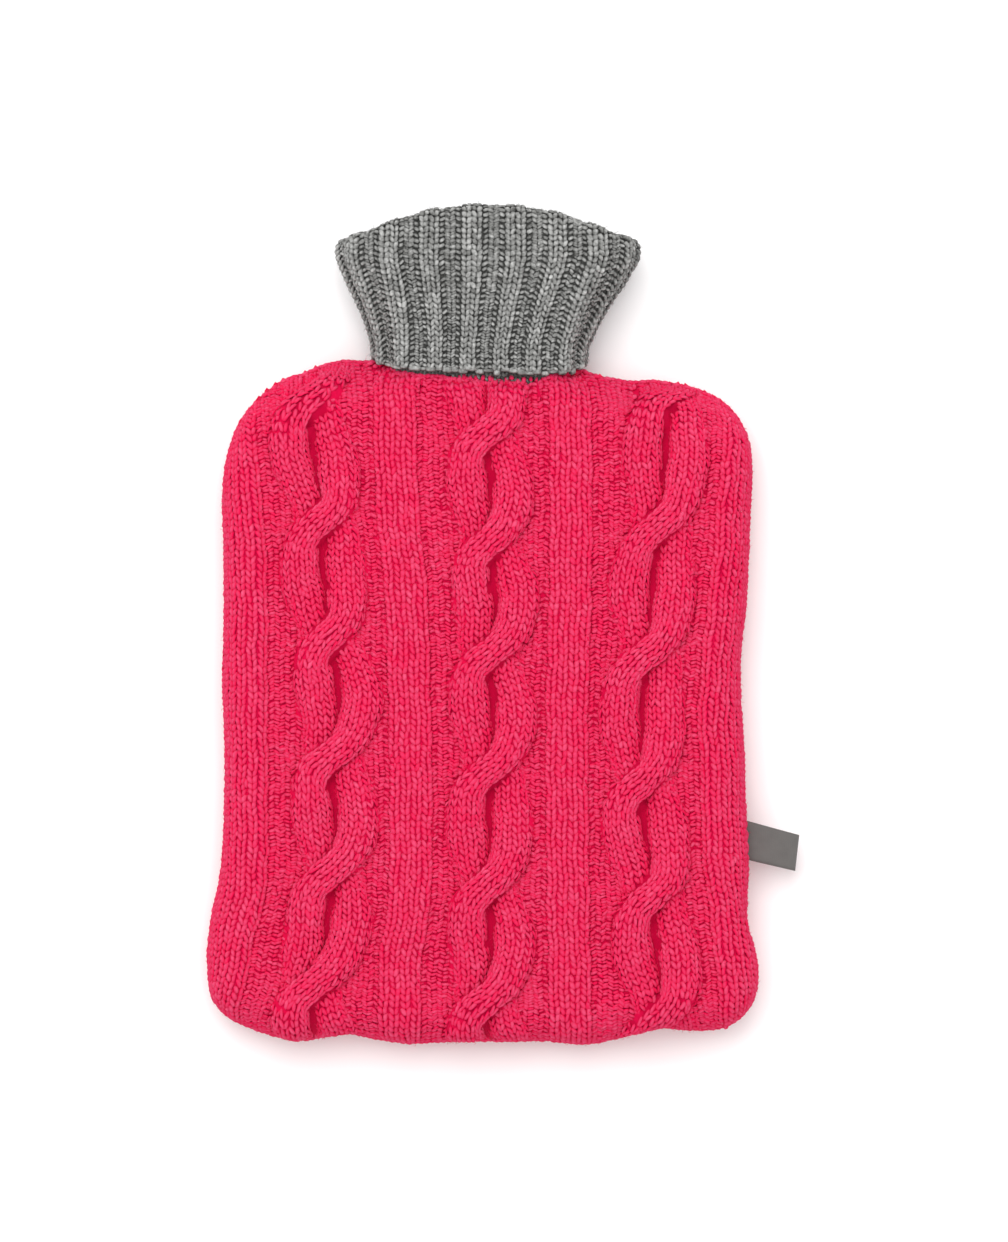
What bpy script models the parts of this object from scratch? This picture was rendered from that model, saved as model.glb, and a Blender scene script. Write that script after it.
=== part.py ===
"""A knitted cover for a hot water bottle, lying on its back with its roll collar turned down.

Two knitted panels meet along a side seam: the front with three rope cables between flat columns, and a plain back.
A ribbed collar goes up from the neck, turns over and comes down outside itself. A small folded label sticks out of
the right side of the seam. The wall is one layer of knitting, so the cover is hollow and open at the neck.

+Y points to the collar, +Z away from the surface it lies on. The origin is on the back, under the middle of the body.
"""

import math

import bmesh
import bpy
import numpy as np

MM = 0.001

# ---- Driving sizes, in millimetres -------------------------------------------------------------------------

WALL = 3.0  # one layer of knitting
SEAM_GAP = 0.3  # between pieces that are sewn together
NECK_GAP = 0.7  # between the panels and the collar, more because both edges are curved
SEAM_HEIGHT = 17.0  # of the side seam above the surface
FRONT_RISE = 17.0  # from the seam up to the front's gutters
EDGE_ROUND = 16.0  # width of the rounded edge, seen from above
CROWN = 2.0  # how much the middle of the front stands above its sides
CROWN_REACH = 60.0

NECK_TOP = 148.0  # where the panels end at the seam
NECK_DIP = 11.0  # how much lower they end in the middle of the front and back
NECK_SLOPE = 0.03  # fall of the neck line from left to right
NECK_EASE = 48.0  # length over which the rows bend to that dip
NECK_LIFT = 5.5  # how far the back of the neck stands off the surface
LIFT_START, LIFT_END = 108.0, 137.0

# The seam seen from above, from the left of the neck round the foot to the right of the neck.
SEAM_LINE = (
    # x, y
    (-41.5, 148.0), (-41.5, 147.0), (-42.2, 145.2), (-45.2, 143.2), (-50.5, 142.6), (-58.0, 142.7), (-66.0, 141.0),
    (-75.0, 137.2), (-84.0, 134.0), (-93.5, 127.2), (-99.5, 121.0), (-103.8, 113.8), (-106.8, 105.0),
    (-108.4, 95.0), (-108.8, 84.0), (-108.2, 60.0), (-108.3, 30.0), (-108.8, 10.0), (-107.8, -18.0),
    (-108.3, -50.0), (-109.8, -70.0), (-112.6, -83.0), (-114.8, -97.0), (-115.0, -108.0), (-114.2, -118.0),
    (-111.4, -124.4), (-106.0, -129.6), (-97.5, -133.6), (-88.0, -137.0), (-77.0, -138.9), (-66.0, -137.4),
    (-55.5, -136.2), (-45.0, -138.2), (-31.0, -140.0), (-12.0, -139.2), (8.0, -139.2), (26.0, -139.0),
    (41.5, -140.4), (54.0, -138.4), (71.0, -133.8), (86.0, -134.6), (98.5, -133.8), (106.5, -129.8),
    (111.6, -123.6), (113.8, -116.0), (114.0, -108.0), (112.2, -99.0), (109.6, -90.0), (109.6, -78.0),
    (110.1, -62.0), (108.8, -38.0), (108.2, -16.0), (106.8, 4.0), (107.0, 24.0), (109.0, 42.0),
    (110.2, 64.0), (111.0, 86.0), (111.6, 98.0), (110.4, 110.5), (106.8, 120.0), (101.6, 127.0),
    (94.5, 132.2), (84.0, 136.0), (71.5, 137.8), (62.0, 137.4), (53.0, 138.4), (46.5, 139.6),
    (41.2, 141.8), (38.6, 144.8), (38.0, 147.0), (38.0, 148.0),
)

# Where the corners of the panels' grids lie on that seam.
GRID_CORNERS = (
    # name, x, y
    ("left shoulder", -101.5, 118.0),
    ("left foot", -109.0, -127.0),
    ("right foot", 109.5, -127.0),
    ("right shoulder", 104.5, 123.5),
)

# Rope cables: the middle of each crossing of the two strands, from the foot up.
CABLE_CROSSINGS = {
    "left": ((-73.0, -116.8), (-63.8, -68.0), (-63.8, -20.0), (-65.1, 28.8), (-67.2, 78.0), (-70.5, 129.3)),
    "middle": ((-0.4, -122.2), (0.8, -74.2), (2.5, -25.4), (1.3, 21.7), (1.7, 68.4), (0.4, 113.5)),
    "right": ((74.2, -127.2), (69.2, -78.4), (65.5, -30.4), (68.0, 22.5), (72.6, 75.1), (69.2, 128.1)),
}
STRAND_SWING = 10.0  # from a cable's middle to a strand's middle, between crossings
STRAND_HALF_WIDTH = 9.4
STRAND_CROSSING_HALF = 6.3  # the same where the strand crosses over, drawn tight
STRAND_BULGE = 4.2  # height of a strand's round back
STRAND_LIFT = 2.0  # how much higher the strand stands where it crosses over
STRAND_SINK = 2.4  # and how much lower where it goes under
STRAND_STEEPNESS = 5.1  # how sharply a strand turns to its crossing
STRAND_REACH = 1.12  # how far a strand shows either side of its crossing, in crossings
STRAND_TUCK = 0.35  # share of its swing that a strand gives up before it goes under
TUCK_START, TUCK_EASE = 0.6, 0.55  # where it does so, in crossings
TIGHT_REACH = 0.3  # how far from its crossing a strand is drawn narrow, in crossings

# Flat columns of plain knitting, as the middle line of each.
FLAT_COLUMNS = {
    "left": ((-35.0, -136.0), (-34.6, -105.0), (-30.9, -80.0), (-30.2, -39.0), (-30.9, 3.0), (-32.1, 45.0),
             (-35.9, 86.0), (-37.5, 132.0)),
    "right": ((36.0, -136.0), (35.9, -122.0), (35.0, -80.0), (34.6, -39.0), (34.6, 3.0), (35.9, 45.0),
              (36.3, 86.0), (35.9, 132.0)),
}
FLAT_HALF_WIDTH = 9.0
FLAT_HEIGHT = 1.7

# Inner edges of the flat margins along the left and the right side.
LEFT_MARGIN = ((-102.0, -127.0), (-98.4, -114.0), (-95.1, -97.0), (-92.0, -84.0), (-89.3, -67.0), (-89.3, 3.0),
               (-89.3, 45.0), (-90.9, 78.0), (-92.6, 95.0), (-94.3, 111.0), (-97.6, 124.0))
RIGHT_MARGIN = ((97.8, -127.0), (95.5, -105.0), (93.4, -85.0), (90.2, -60.0), (89.6, -30.0), (88.4, -5.0),
                (90.1, 20.0), (92.6, 45.0), (95.1, 66.0), (96.8, 90.0), (99.3, 111.0), (100.1, 124.0))
MARGIN_EASE = 4.0  # width of the margin's rounded shoulder
RELIEF_FULL = 60.0  # degrees round the edge, from the seam, where the relief reaches its full height
RELIEF_END, RELIEF_END_EASE = 14.0, 13.0  # where it ends below the neck

# The turned-down collar, as the half width of its inner layer at each height up the neck.
COLLAR_FLARE = (
    # y, half width, x of the middle, height of the seam, height of the upper side
    (130.0, 39.7, -1.8, 17.0, 34.0),
    (148.0, 39.8, -1.8, 17.0, 34.0),
    (156.0, 42.0, -1.0, 17.4, 34.4),
    (166.0, 46.4, -0.2, 18.6, 35.8),
    (176.0, 52.2, 0.8, 20.2, 37.6),
    (186.0, 57.2, 1.5, 21.4, 39.0),
    (194.0, 57.8, 1.6, 22.0, 39.4),
    (212.0, 57.8, 1.6, 22.2, 39.4),
)
COLLAR_FOLD_TOP = 210.8  # highest line of the fold
COLLAR_FOLD_ARCH = 14.0  # how much lower the fold lies at the two sides
COLLAR_ARCH_POWER = 2.2
COLLAR_HEM = 140.8  # lower edge of the outer layer, in the middle of the front
COLLAR_HEM_RISE = 4.4  # how much higher that edge lies at the sides
COLLAR_HEM_SLOPE = 0.035
LAYER_GAP = 1.0  # between the two layers of the collar
RIBS = 18  # round the collar
RIB_SHIFT = 0.24  # of a rib, from the left side
RIB_HEIGHT = 1.1
INNER_RIB_HEIGHT = 0.7
RIB_CROWDING = 0.13  # how much closer the ribs lie at the sides, at the hem
RIB_STEPS = 6  # faces across each rib

# The label, seen from above: the corners that show, and the part of it inside the seam.
LABEL_CORNERS = (
    # x, y
    (111.8, -48.0), (131.4, -53.4), (129.7, -68.4), (111.8, -64.2),
)
LABEL_ROOT = 4.2  # length inside the seam
LABEL_THICKNESS = 1.0
LABEL_DROOP = 3.5
LABEL_DROOP_POWER = 1.6
LABEL_MIDDLE = -55.0
LABEL_ROOM = 13.0  # half the length of seam that opens for it
LABEL_ROOM_EASE = 9.0

# ---- How finely the surfaces are divided -------------------------------------------------------------------

OUTLINE_STEPS = 900
NOT_ON_RIM = -1.0
CURVE_PARTS = 24  # between two points that a curve is drawn through
FOOT_STEPS, FOOT_SHARE = 6, 0.7  # Newton steps to the nearest point of a strand, and how far each one goes
NECK_CROWDING = 1.9  # how much shorter the steps along the shoulders get towards the neck
FRONT_GRID = {"columns": 44, "rows": 46, "shoulder": 16, "rings": (62.0, 32.0, 0.0)}
PLAIN_GRID = {"columns": 22, "rows": 23, "shoulder": 8, "rings": (60.0, 30.0, 0.0)}


# ---- Curves and tables -------------------------------------------------------------------------------------


def smoothstep(value):
    """0 below 0, 1 above 1, and a soft S between them."""
    value = np.clip(value, 0.0, 1.0)
    return value * value * (3.0 - 2.0 * value)


def curve_through(points, count):
    """count points, evenly spaced, on a smooth (Catmull-Rom) curve through the given ones."""
    points = np.asarray(points, float)
    ends = 2 * points[0] - points[1], 2 * points[-1] - points[-2]
    padded = np.vstack([ends[0], points, ends[1]])
    part = np.linspace(0.0, 1.0, CURVE_PARTS, endpoint=False)[:, None]
    runs = []
    for before, start, end, after in zip(padded, padded[1:], padded[2:], padded[3:]):
        runs.append(
            0.5 * (2 * start + (end - before) * part + (2 * before - 5 * start + 4 * end - after) * part**2
                   + (3 * start - before - 3 * end + after) * part**3)
        )
    dense = np.vstack([*runs, points[-1:]])
    travelled = np.concatenate([[0.0], np.cumsum(np.linalg.norm(np.diff(dense, axis=0), axis=1))])
    steps = np.linspace(0.0, travelled[-1], count)
    return np.column_stack([np.interp(steps, travelled, column) for column in dense.T])


def along(line, y):
    """x at the heights y on a line that is given from the foot up."""
    dense = curve_through(line, 120)
    return np.interp(y, dense[:, 1], dense[:, 0])


def table_at(table, y):
    """The columns of a table at the heights y, the first column being the height."""
    dense = curve_through(table, 160)
    return [np.interp(y, dense[:, 0], column) for column in dense.T[1:]]


OUTLINE = curve_through(SEAM_LINE, OUTLINE_STEPS)
TANGENT = np.gradient(OUTLINE, axis=0)
TANGENT /= np.linalg.norm(TANGENT, axis=1)[:, None]
TANGENT[0], TANGENT[-1] = (0.0, -1.0), (0.0, 1.0)
INWARD = np.column_stack([-TANGENT[:, 1], TANGENT[:, 0]])


def on_outline(station, inset):
    """Points at stations 0 to 1 along the seam, moved inwards by the inset."""
    place = np.asarray(station) * (OUTLINE_STEPS - 1)
    index = np.arange(OUTLINE_STEPS)
    point = np.column_stack([np.interp(place, index, column) for column in OUTLINE.T])
    inward = np.column_stack([np.interp(place, index, column) for column in INWARD.T])
    return point + inward * np.asarray(inset).reshape(-1, 1), inward


def station_of(x, y):
    """The station on the seam nearest to a point."""
    return float(np.argmin(np.hypot(OUTLINE[:, 0] - x, OUTLINE[:, 1] - y)) / (OUTLINE_STEPS - 1))


def distance_inside(points):
    """How far each point lies from the seam, seen from above."""
    nearest = np.full(len(points), np.inf)
    for corner in OUTLINE[::3]:
        nearest = np.minimum(nearest, np.hypot(*(points - corner).T))
    return nearest


# ---- The knitted relief of the front -----------------------------------------------------------------------


def strand_middle(turn):
    """How far a strand's middle lies to the right of the cable's, turn being counted in crossings from its own."""
    tuck = 1.0 - STRAND_TUCK * smoothstep((np.abs(turn) - TUCK_START) / TUCK_EASE)
    return STRAND_SWING * np.tanh(STRAND_STEEPNESS * turn) * tuck


def cable_height(x, y, crossings):
    """Height of a two-strand rope cable. Each strand shows from where it comes out on the left, over its crossing,
    to where it goes under on the right."""
    crossings = np.asarray(crossings)
    pitch = np.mean(np.diff(crossings[:, 1]))
    middles = np.vstack([crossings[0] - (0, pitch), crossings, crossings[-1] + (0, pitch)])
    counted = np.interp(y, middles[:, 1], np.arange(len(middles)))
    across = x - along(middles, y)
    height = np.full(np.shape(x), -STRAND_SINK)
    for crossing in range(len(middles) + 1):
        level = counted - crossing
        turn = level
        for _ in range(FOOT_STEPS):
            off = across - strand_middle(turn)
            slope = (strand_middle(turn + 0.01) - strand_middle(turn - 0.01)) / 0.02
            turn = turn + FOOT_SHARE * (off * slope + (level - turn) * pitch**2) / (slope**2 + pitch**2)
        off = np.hypot(across - strand_middle(turn), (level - turn) * pitch)
        tight = np.exp(-((turn / TIGHT_REACH) ** 2))
        half = STRAND_HALF_WIDTH + (STRAND_CROSSING_HALF - STRAND_HALF_WIDTH) * tight
        lift = 0.5 * (STRAND_LIFT + STRAND_SINK) * np.cos(math.pi * turn)
        lift = lift + 0.5 * (STRAND_LIFT - STRAND_SINK) * np.cos(2.0 * math.pi * turn)
        strand = lift + STRAND_BULGE * np.sqrt(1.0 - np.clip(off / half, 0.0, 1.0) ** 2)
        shows = (np.abs(turn) < STRAND_REACH) & (off < half)
        height = np.maximum(height, np.where(shows, strand, -STRAND_SINK))
    return height


def front_relief(x, y):
    """Height of the cables, the flat columns and the margins above the gutters between them."""
    height = np.zeros(np.shape(x))
    for crossings in CABLE_CROSSINGS.values():
        height = np.maximum(height, cable_height(x, y, crossings))
    for line in FLAT_COLUMNS.values():
        off = np.clip(np.abs(x - along(line, y)) / FLAT_HALF_WIDTH, 0.0, 1.0)
        height = np.maximum(height, FLAT_HEIGHT * np.sqrt(1.0 - off**4))
    left = smoothstep((along(LEFT_MARGIN, y) - x) / MARGIN_EASE)
    right = smoothstep((x - along(RIGHT_MARGIN, y)) / MARGIN_EASE)
    return np.maximum(height, FLAT_HEIGHT * np.maximum(left, right))


# ---- The two panels ----------------------------------------------------------------------------------------


def rim_stations(grid):
    """Stations on the seam for the four sides of a panel's grid, and the straight run across the neck."""
    left_shoulder, left_foot, right_foot, right_shoulder = (station_of(x, y) for _, x, y in GRID_CORNERS)
    columns, rows, shoulder = grid["columns"], grid["rows"], grid["shoulder"]
    neck = columns - 2 * shoulder
    from_neck = np.linspace(0.0, 1.0, shoulder + 1) ** NECK_CROWDING
    return {
        "left": np.linspace(left_foot, left_shoulder, rows + 1),
        "right": np.linspace(right_foot, right_shoulder, rows + 1),
        "bottom": np.linspace(left_foot, right_foot, columns + 1),
        "top": np.concatenate(
            [left_shoulder * from_neck[::-1], np.full(neck - 1, NOT_ON_RIM),
             1.0 - (1.0 - right_shoulder) * from_neck]
        ),
    }


def side_points(stations, inset):
    """Points of one side of the grid, with the neck's run filled in straight."""
    known = stations > NOT_ON_RIM
    points = np.zeros((len(stations), 2))
    points[known] = on_outline(stations[known], inset)[0]
    index = np.arange(len(stations))
    for axis in (0, 1):
        points[:, axis] = np.interp(index, index[known], points[known, axis])
    return points


def patch(grid, inset):
    """The flat middle of a panel, as a grid of points spread between its four sides (a Coons patch)."""
    sides = {name: side_points(stations, inset) for name, stations in rim_stations(grid).items()}
    u = np.linspace(0.0, 1.0, grid["columns"] + 1)[None, :, None]
    v = np.linspace(0.0, 1.0, grid["rows"] + 1)[:, None, None]
    left, right = sides["left"][:, None, :], sides["right"][:, None, :]
    bottom, top = sides["bottom"][None, :, :], sides["top"][None, :, :]
    corners = (
        (1 - u) * (1 - v) * left[:1] + u * (1 - v) * right[:1] + (1 - u) * v * left[-1:] + u * v * right[-1:]
    )
    return (1 - v) * bottom + v * top + (1 - u) * left + u * right - corners


def back_height(y):
    """Height of the underside: flat on the surface, and lifted towards the neck."""
    return NECK_LIFT * smoothstep((y - LIFT_START) / (LIFT_END - LIFT_START))


def seam_opening(x, y):
    """How far the front's edge is lifted to let the label in."""
    near = 1.0 - smoothstep((np.abs(y - LABEL_MIDDLE) - LABEL_ROOM) / LABEL_ROOM_EASE)
    return (LABEL_THICKNESS + SEAM_GAP) * np.where(x > 0, near, 0.0)


def panel_points(plan, reach, turn, inward, wall, is_front):
    """Places in space for points of a panel: plan is where they lie seen from above, reach is the same with the
    rounded edge rolled out flat, turn is how far round the edge they are (90 degrees on the flat), and wall is how
    deep they lie under the outer face."""
    x, y = plan.T
    up = np.sin(np.radians(turn))
    y = y - (NECK_DIP * up + NECK_SLOPE * x) * smoothstep((y - NECK_TOP + NECK_EASE) / NECK_EASE)
    if not is_front:
        seam = SEAM_HEIGHT - SEAM_GAP / 2
        return np.column_stack([x, y, seam - (seam - back_height(y) - wall) * up])
    seam = SEAM_HEIGHT + SEAM_GAP / 2 + seam_opening(x, y) * (1.0 - up)
    top = SEAM_HEIGHT + FRONT_RISE - wall
    crown = CROWN * smoothstep((distance_inside(plan) - EDGE_ROUND) / CROWN_REACH)
    crown = crown * smoothstep((NECK_TOP - NECK_DIP - y) / CROWN_REACH)
    points = np.column_stack([x, y, seam + (top - seam) * up + crown])
    if wall:
        return points
    bent = reach[:, 1] - NECK_DIP * up * smoothstep((reach[:, 1] - NECK_TOP + NECK_EASE) / NECK_EASE)
    relief = front_relief(reach[:, 0], bent) * smoothstep(turn / RELIEF_FULL)
    below_neck = NECK_TOP - NECK_DIP * up - y
    relief = relief * smoothstep((below_neck - RELIEF_END + RELIEF_END_EASE) / RELIEF_END_EASE)
    lean = np.cos(np.radians(turn))[:, None]
    normal = np.column_stack([-inward * lean, up])
    return points + normal * relief[:, None]


def add_surface(bm, grid, wall, is_front):
    """One face of a panel: the flat middle, then its rim turned down in rings to the seam."""
    station, turn = bm.verts.layers.float["station"], bm.verts.layers.float["turn"]
    columns, rows = grid["columns"], grid["rows"]
    sides, flat = rim_stations(grid), patch(grid, EDGE_ROUND)
    verts = list(bmesh.ops.create_grid(bm, x_segments=columns, y_segments=rows, size=0.5)["verts"])
    for vert in verts:
        column, row = round((vert.co.x + 0.5) * columns), round((vert.co.y + 0.5) * rows)
        on_rim = {0: sides["left"][row], columns: sides["right"][row]}.get(column, NOT_ON_RIM)
        on_rim = {0: sides["bottom"][column], rows: sides["top"][column]}.get(row, on_rim)
        vert[station], vert[turn] = on_rim, 90.0
        vert.co = (*flat[row, column], 0.0)
    middle = len(verts)
    in_surface = set(verts)
    rim = [
        edge for edge in bm.edges
        if edge.is_boundary and all(end in in_surface and end[station] > NOT_ON_RIM for end in edge.verts)
    ]
    for angle in grid["rings"]:
        made = bmesh.ops.extrude_edge_only(bm, edges=rim)["geom"]
        ring = {item for item in made if isinstance(item, bmesh.types.BMVert)}
        rim = [item for item in made if isinstance(item, bmesh.types.BMEdge) and ring.issuperset(item.verts)]
        for vert in ring:
            vert[turn] = angle
        verts.extend(ring)
    angles = np.array([vert[turn] for vert in verts])
    stations = np.array([vert[station] for vert in verts[middle:]])
    plan = np.array([vert.co[:2] for vert in verts])
    reach, inward = plan.copy(), np.zeros_like(plan)
    round_in = wall + (EDGE_ROUND - wall) * (1.0 - np.cos(np.radians(angles[middle:])))
    plan[middle:], inward[middle:] = on_outline(stations, round_in)
    reach[middle:] = on_outline(stations, EDGE_ROUND * (1.0 - np.radians(90.0 - angles[middle:])))[0]
    for vert, point in zip(verts, panel_points(plan, reach, angles, inward, wall, is_front)):
        vert.co = point * MM


def panel(name, outer_grid, is_front, finish):
    """A panel: its outer and inner faces, joined round their rims."""
    bm = bmesh.new()
    for layer in ("station", "turn"):
        bm.verts.layers.float.new(layer)
    add_surface(bm, outer_grid, 0.0, is_front)
    add_surface(bm, PLAIN_GRID, WALL, is_front)
    bmesh.ops.bridge_loops(bm, edges=[edge for edge in bm.edges if edge.is_boundary])
    return add_object(name, bm, finish)


# ---- The collar --------------------------------------------------------------------------------------------


def oval_points(around, y, outward):
    """Points round the neck. around runs from -1 at the left of the seam to 1 at its right over the front, and from
    1 to 3 back to the left underneath; outward is the distance from the inner layer's outer face."""
    half, middle, seam, upper = table_at(COLLAR_FLARE, y)
    side = np.where(around <= 1.0, around, 2.0 - around)
    is_front = around <= 1.0
    quarter = EDGE_ROUND * math.pi / 2
    run = (half - EDGE_ROUND + quarter) * side
    past = np.clip((np.abs(run) - (half - EDGE_ROUND)) / quarter, 0.0, 1.0)
    angle = past * math.pi / 2
    x = np.sign(run) * (np.minimum(np.abs(run), half - EDGE_ROUND) + EDGE_ROUND * np.sin(angle))
    rise = np.where(is_front, upper - seam, seam - NECK_LIFT)
    facing = np.where(is_front, 1.0, -1.0)
    normal_x, normal_z = np.sign(run) * np.sin(angle), facing * np.cos(angle)
    place = np.column_stack(
        [middle + x + normal_x * outward, y, seam + facing * rise * np.cos(angle) + normal_z * outward]
    )
    return place, np.cos(angle), np.clip(np.abs(x) / half, 0.0, 1.0)


def crowded(around, crowding):
    """Where a rib lies round the neck: closer together towards the two sides."""
    centre = np.where(around <= 1.0, 0.0, 2.0)
    side = around - centre
    return centre + side * (1.0 + crowding) - crowding * side**3


def collar_section():
    """The sheet's own outline, cut from hem to base: how far along the sheet each point lies (0 at the lower edges,
    1 at the fold), its distance from the inner layer's outer face, how far past the fold's middle it is, and how
    much of the outer and the inner ribs it carries."""
    middle, inner_radius = LAYER_GAP / 2, LAYER_GAP / 2
    outer_radius = inner_radius + WALL
    rows = []
    for share in (0.0, 0.25, 0.5, 0.75, 0.92):
        rows.append((share, middle + outer_radius, 0.0, 1.0, 0.0))
    for angle in (0.0, 36.0, 72.0, 108.0, 144.0, 180.0):
        over = math.radians(angle)
        rib = max(math.cos(over), 0.0), max(-math.cos(over), 0.0)
        rows.append((1.0, middle + outer_radius * math.cos(over), outer_radius * math.sin(over), *rib))
    for share in (0.8, 0.5, 0.2, 0.0):
        rows.append((share - 2.0, middle - outer_radius, 0.0, 0.0, 1.0))
    for share in (0.0, 0.2, 0.5, 0.8):
        rows.append((share - 2.0, middle - inner_radius, 0.0, 0.0, 0.0))
    for angle in (180.0, 90.0, 0.0):
        over = math.radians(angle)
        rows.append((1.0, middle + inner_radius * math.cos(over), inner_radius * math.sin(over), 0.0, 0.0))
    for share in (0.75, 0.5, 0.25, 0.0):
        rows.append((share, middle + inner_radius, 0.0, 0.0, 0.0))
    return rows


def collar(finish):
    """The ribbed collar: one sheet that goes up from the neck, turns over and comes down to its hem."""
    section = np.array(collar_section())
    around_steps = RIBS * RIB_STEPS
    bm = bmesh.new()
    verts = bmesh.ops.create_grid(bm, x_segments=around_steps, y_segments=len(section), size=0.5)["verts"]
    step = np.array([round((vert.co.x + 0.5) * around_steps) % around_steps for vert in verts])
    row = section[[round((vert.co.y + 0.5) * len(section)) % len(section) for vert in verts]]
    share, outward, past, outer_rib, inner_rib = row.T
    is_outer = share >= 0.0
    share = np.where(is_outer, share, share + 2.0)
    ribs = RIBS * step / around_steps
    around = crowded(4.0 * ribs / RIBS - 1.0, RIB_CROWDING * (1.0 - share))
    flat, up, off = oval_points(around, np.full(len(verts), NECK_TOP), 0.0)
    x = flat[:, 0]
    hem = COLLAR_HEM + COLLAR_HEM_RISE * (1.0 - up) - COLLAR_HEM_SLOPE * x
    base = NECK_TOP + NECK_GAP - NECK_DIP * up - NECK_SLOPE * x
    fold = COLLAR_FOLD_TOP - COLLAR_FOLD_ARCH * off**COLLAR_ARCH_POWER - WALL - LAYER_GAP / 2
    start = np.where(is_outer, hem, base)
    y = start + (fold - start) * share + past
    rib = 0.5 + 0.5 * np.cos(2.0 * math.pi * (ribs - RIB_SHIFT))
    outward = outward + outer_rib * RIB_HEIGHT * rib - inner_rib * INNER_RIB_HEIGHT * rib
    points = oval_points(around, y, outward)[0]
    for vert, point in zip(verts, points):
        vert.co = point * MM
    bmesh.ops.remove_doubles(bm, verts=bm.verts, dist=0.00001)
    return add_object("ribbed_collar", bm, finish)


# ---- The label ---------------------------------------------------------------------------------------------


def label(finish):
    """The folded label: flat inside the seam, then drooping a little to its free end."""
    top_root, top_tip, bottom_tip, bottom_root = (np.array(corner) for corner in LABEL_CORNERS)
    bm = bmesh.new()
    for vert in bmesh.ops.create_grid(bm, x_segments=8, y_segments=3, size=0.5)["verts"]:
        along_label, across = vert.co.x + 0.5, vert.co.y + 0.5
        length = np.linalg.norm(top_tip - top_root)
        share = (along_label * (length + LABEL_ROOT) - LABEL_ROOT) / length
        lower = bottom_root + (bottom_tip - bottom_root) * share
        upper = top_root + (top_tip - top_root) * share
        place = lower + (upper - lower) * across
        droop = LABEL_DROOP * max(share, 0.0) ** LABEL_DROOP_POWER
        height = SEAM_HEIGHT + SEAM_GAP / 2 + LABEL_THICKNESS / 2 - droop
        vert.co = (place[0] * MM, place[1] * MM, height * MM)
    tag = add_object("side_label", bm, finish)
    folded = tag.modifiers.new("two layers", "SOLIDIFY")
    folded.thickness = LABEL_THICKNESS * MM
    folded.offset = 0.0
    return tag


# ---- Materials and the whole -------------------------------------------------------------------------------


def cloth(name, colour, roughness):
    """A matt, woollen or woven finish."""
    material = bpy.data.materials.new(name)
    material.use_nodes = True
    shader = material.node_tree.nodes["Principled BSDF"]
    shader.inputs["Base Color"].default_value = (*colour, 1.0)
    shader.inputs["Roughness"].default_value = roughness
    shader.inputs["Metallic"].default_value = 0.0
    material.diffuse_color = (*colour, 1.0)
    return material


def add_object(name, bm, finish):
    """Puts a finished mesh in the cover's collection, its faces pointing outwards."""
    bmesh.ops.recalc_face_normals(bm, faces=bm.faces)
    mesh = bpy.data.meshes.new(name)
    bm.to_mesh(mesh)
    bm.free()
    mesh.materials.append(finish)
    mesh.shade_smooth()
    piece = bpy.data.objects.new(name, mesh)
    bpy.data.collections["hot_water_bottle_cover"].objects.link(piece)
    return piece


def main():
    for left_over in list(bpy.data.objects):
        bpy.data.objects.remove(left_over)
    cover = bpy.data.collections.new("hot_water_bottle_cover")
    bpy.context.scene.collection.children.link(cover)
    pink = cloth("pink_lambswool", (0.80, 0.045, 0.13), 0.9)
    grey = cloth("grey_marl_lambswool", (0.21, 0.21, 0.205), 0.9)
    woven = cloth("grey_woven_label", (0.18, 0.165, 0.16), 0.75)
    panel("front_panel", FRONT_GRID, True, pink)
    panel("back_panel", PLAIN_GRID, False, pink)
    collar(grey)
    label(woven)


main()
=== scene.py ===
# %% [markdown]
# # A cable-knit cover for a hot water bottle
#
# The real thing is knitted from soft two-ply lambswool: a pink front with three rope cables, a plain pink
# back, a grey marl collar in 2 by 2 rib that is turned down outside itself, and a small woven label in
# the side seam. It lies on its back on a white table, and the camera looks straight down on it.
#
# A knitted surface is nothing but loops of yarn, so this lesson doesn't paint them: it works out where
# every half stitch lies, puts a point there, and lets Geometry Nodes set a short plump piece of yarn on
# each point. Under the yarn lies a thin sheet with the same shape, which closes the gaps between the
# stitches.

import math

import bmesh
import bpy
import numpy as np
from mathutils.kdtree import KDTree
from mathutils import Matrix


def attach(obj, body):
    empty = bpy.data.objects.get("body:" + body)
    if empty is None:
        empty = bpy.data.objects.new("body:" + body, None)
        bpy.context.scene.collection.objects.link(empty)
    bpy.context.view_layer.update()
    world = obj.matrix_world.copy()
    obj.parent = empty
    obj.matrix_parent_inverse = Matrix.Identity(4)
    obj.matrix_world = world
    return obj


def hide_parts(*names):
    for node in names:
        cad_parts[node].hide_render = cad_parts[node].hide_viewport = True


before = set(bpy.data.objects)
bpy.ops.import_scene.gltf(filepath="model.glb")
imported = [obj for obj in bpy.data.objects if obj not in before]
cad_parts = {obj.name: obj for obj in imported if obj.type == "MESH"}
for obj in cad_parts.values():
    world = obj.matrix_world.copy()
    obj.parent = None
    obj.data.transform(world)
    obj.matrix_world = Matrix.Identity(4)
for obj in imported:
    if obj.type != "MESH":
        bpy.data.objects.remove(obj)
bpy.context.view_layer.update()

# %% [markdown]
# ## Sizes
#
# All sizes are in millimetres and become metres only when a mesh is made. The first block repeats the
# cover's own sizes: the seam line seen from above, the height of the edge, the places where the cable
# strands cross.

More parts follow.
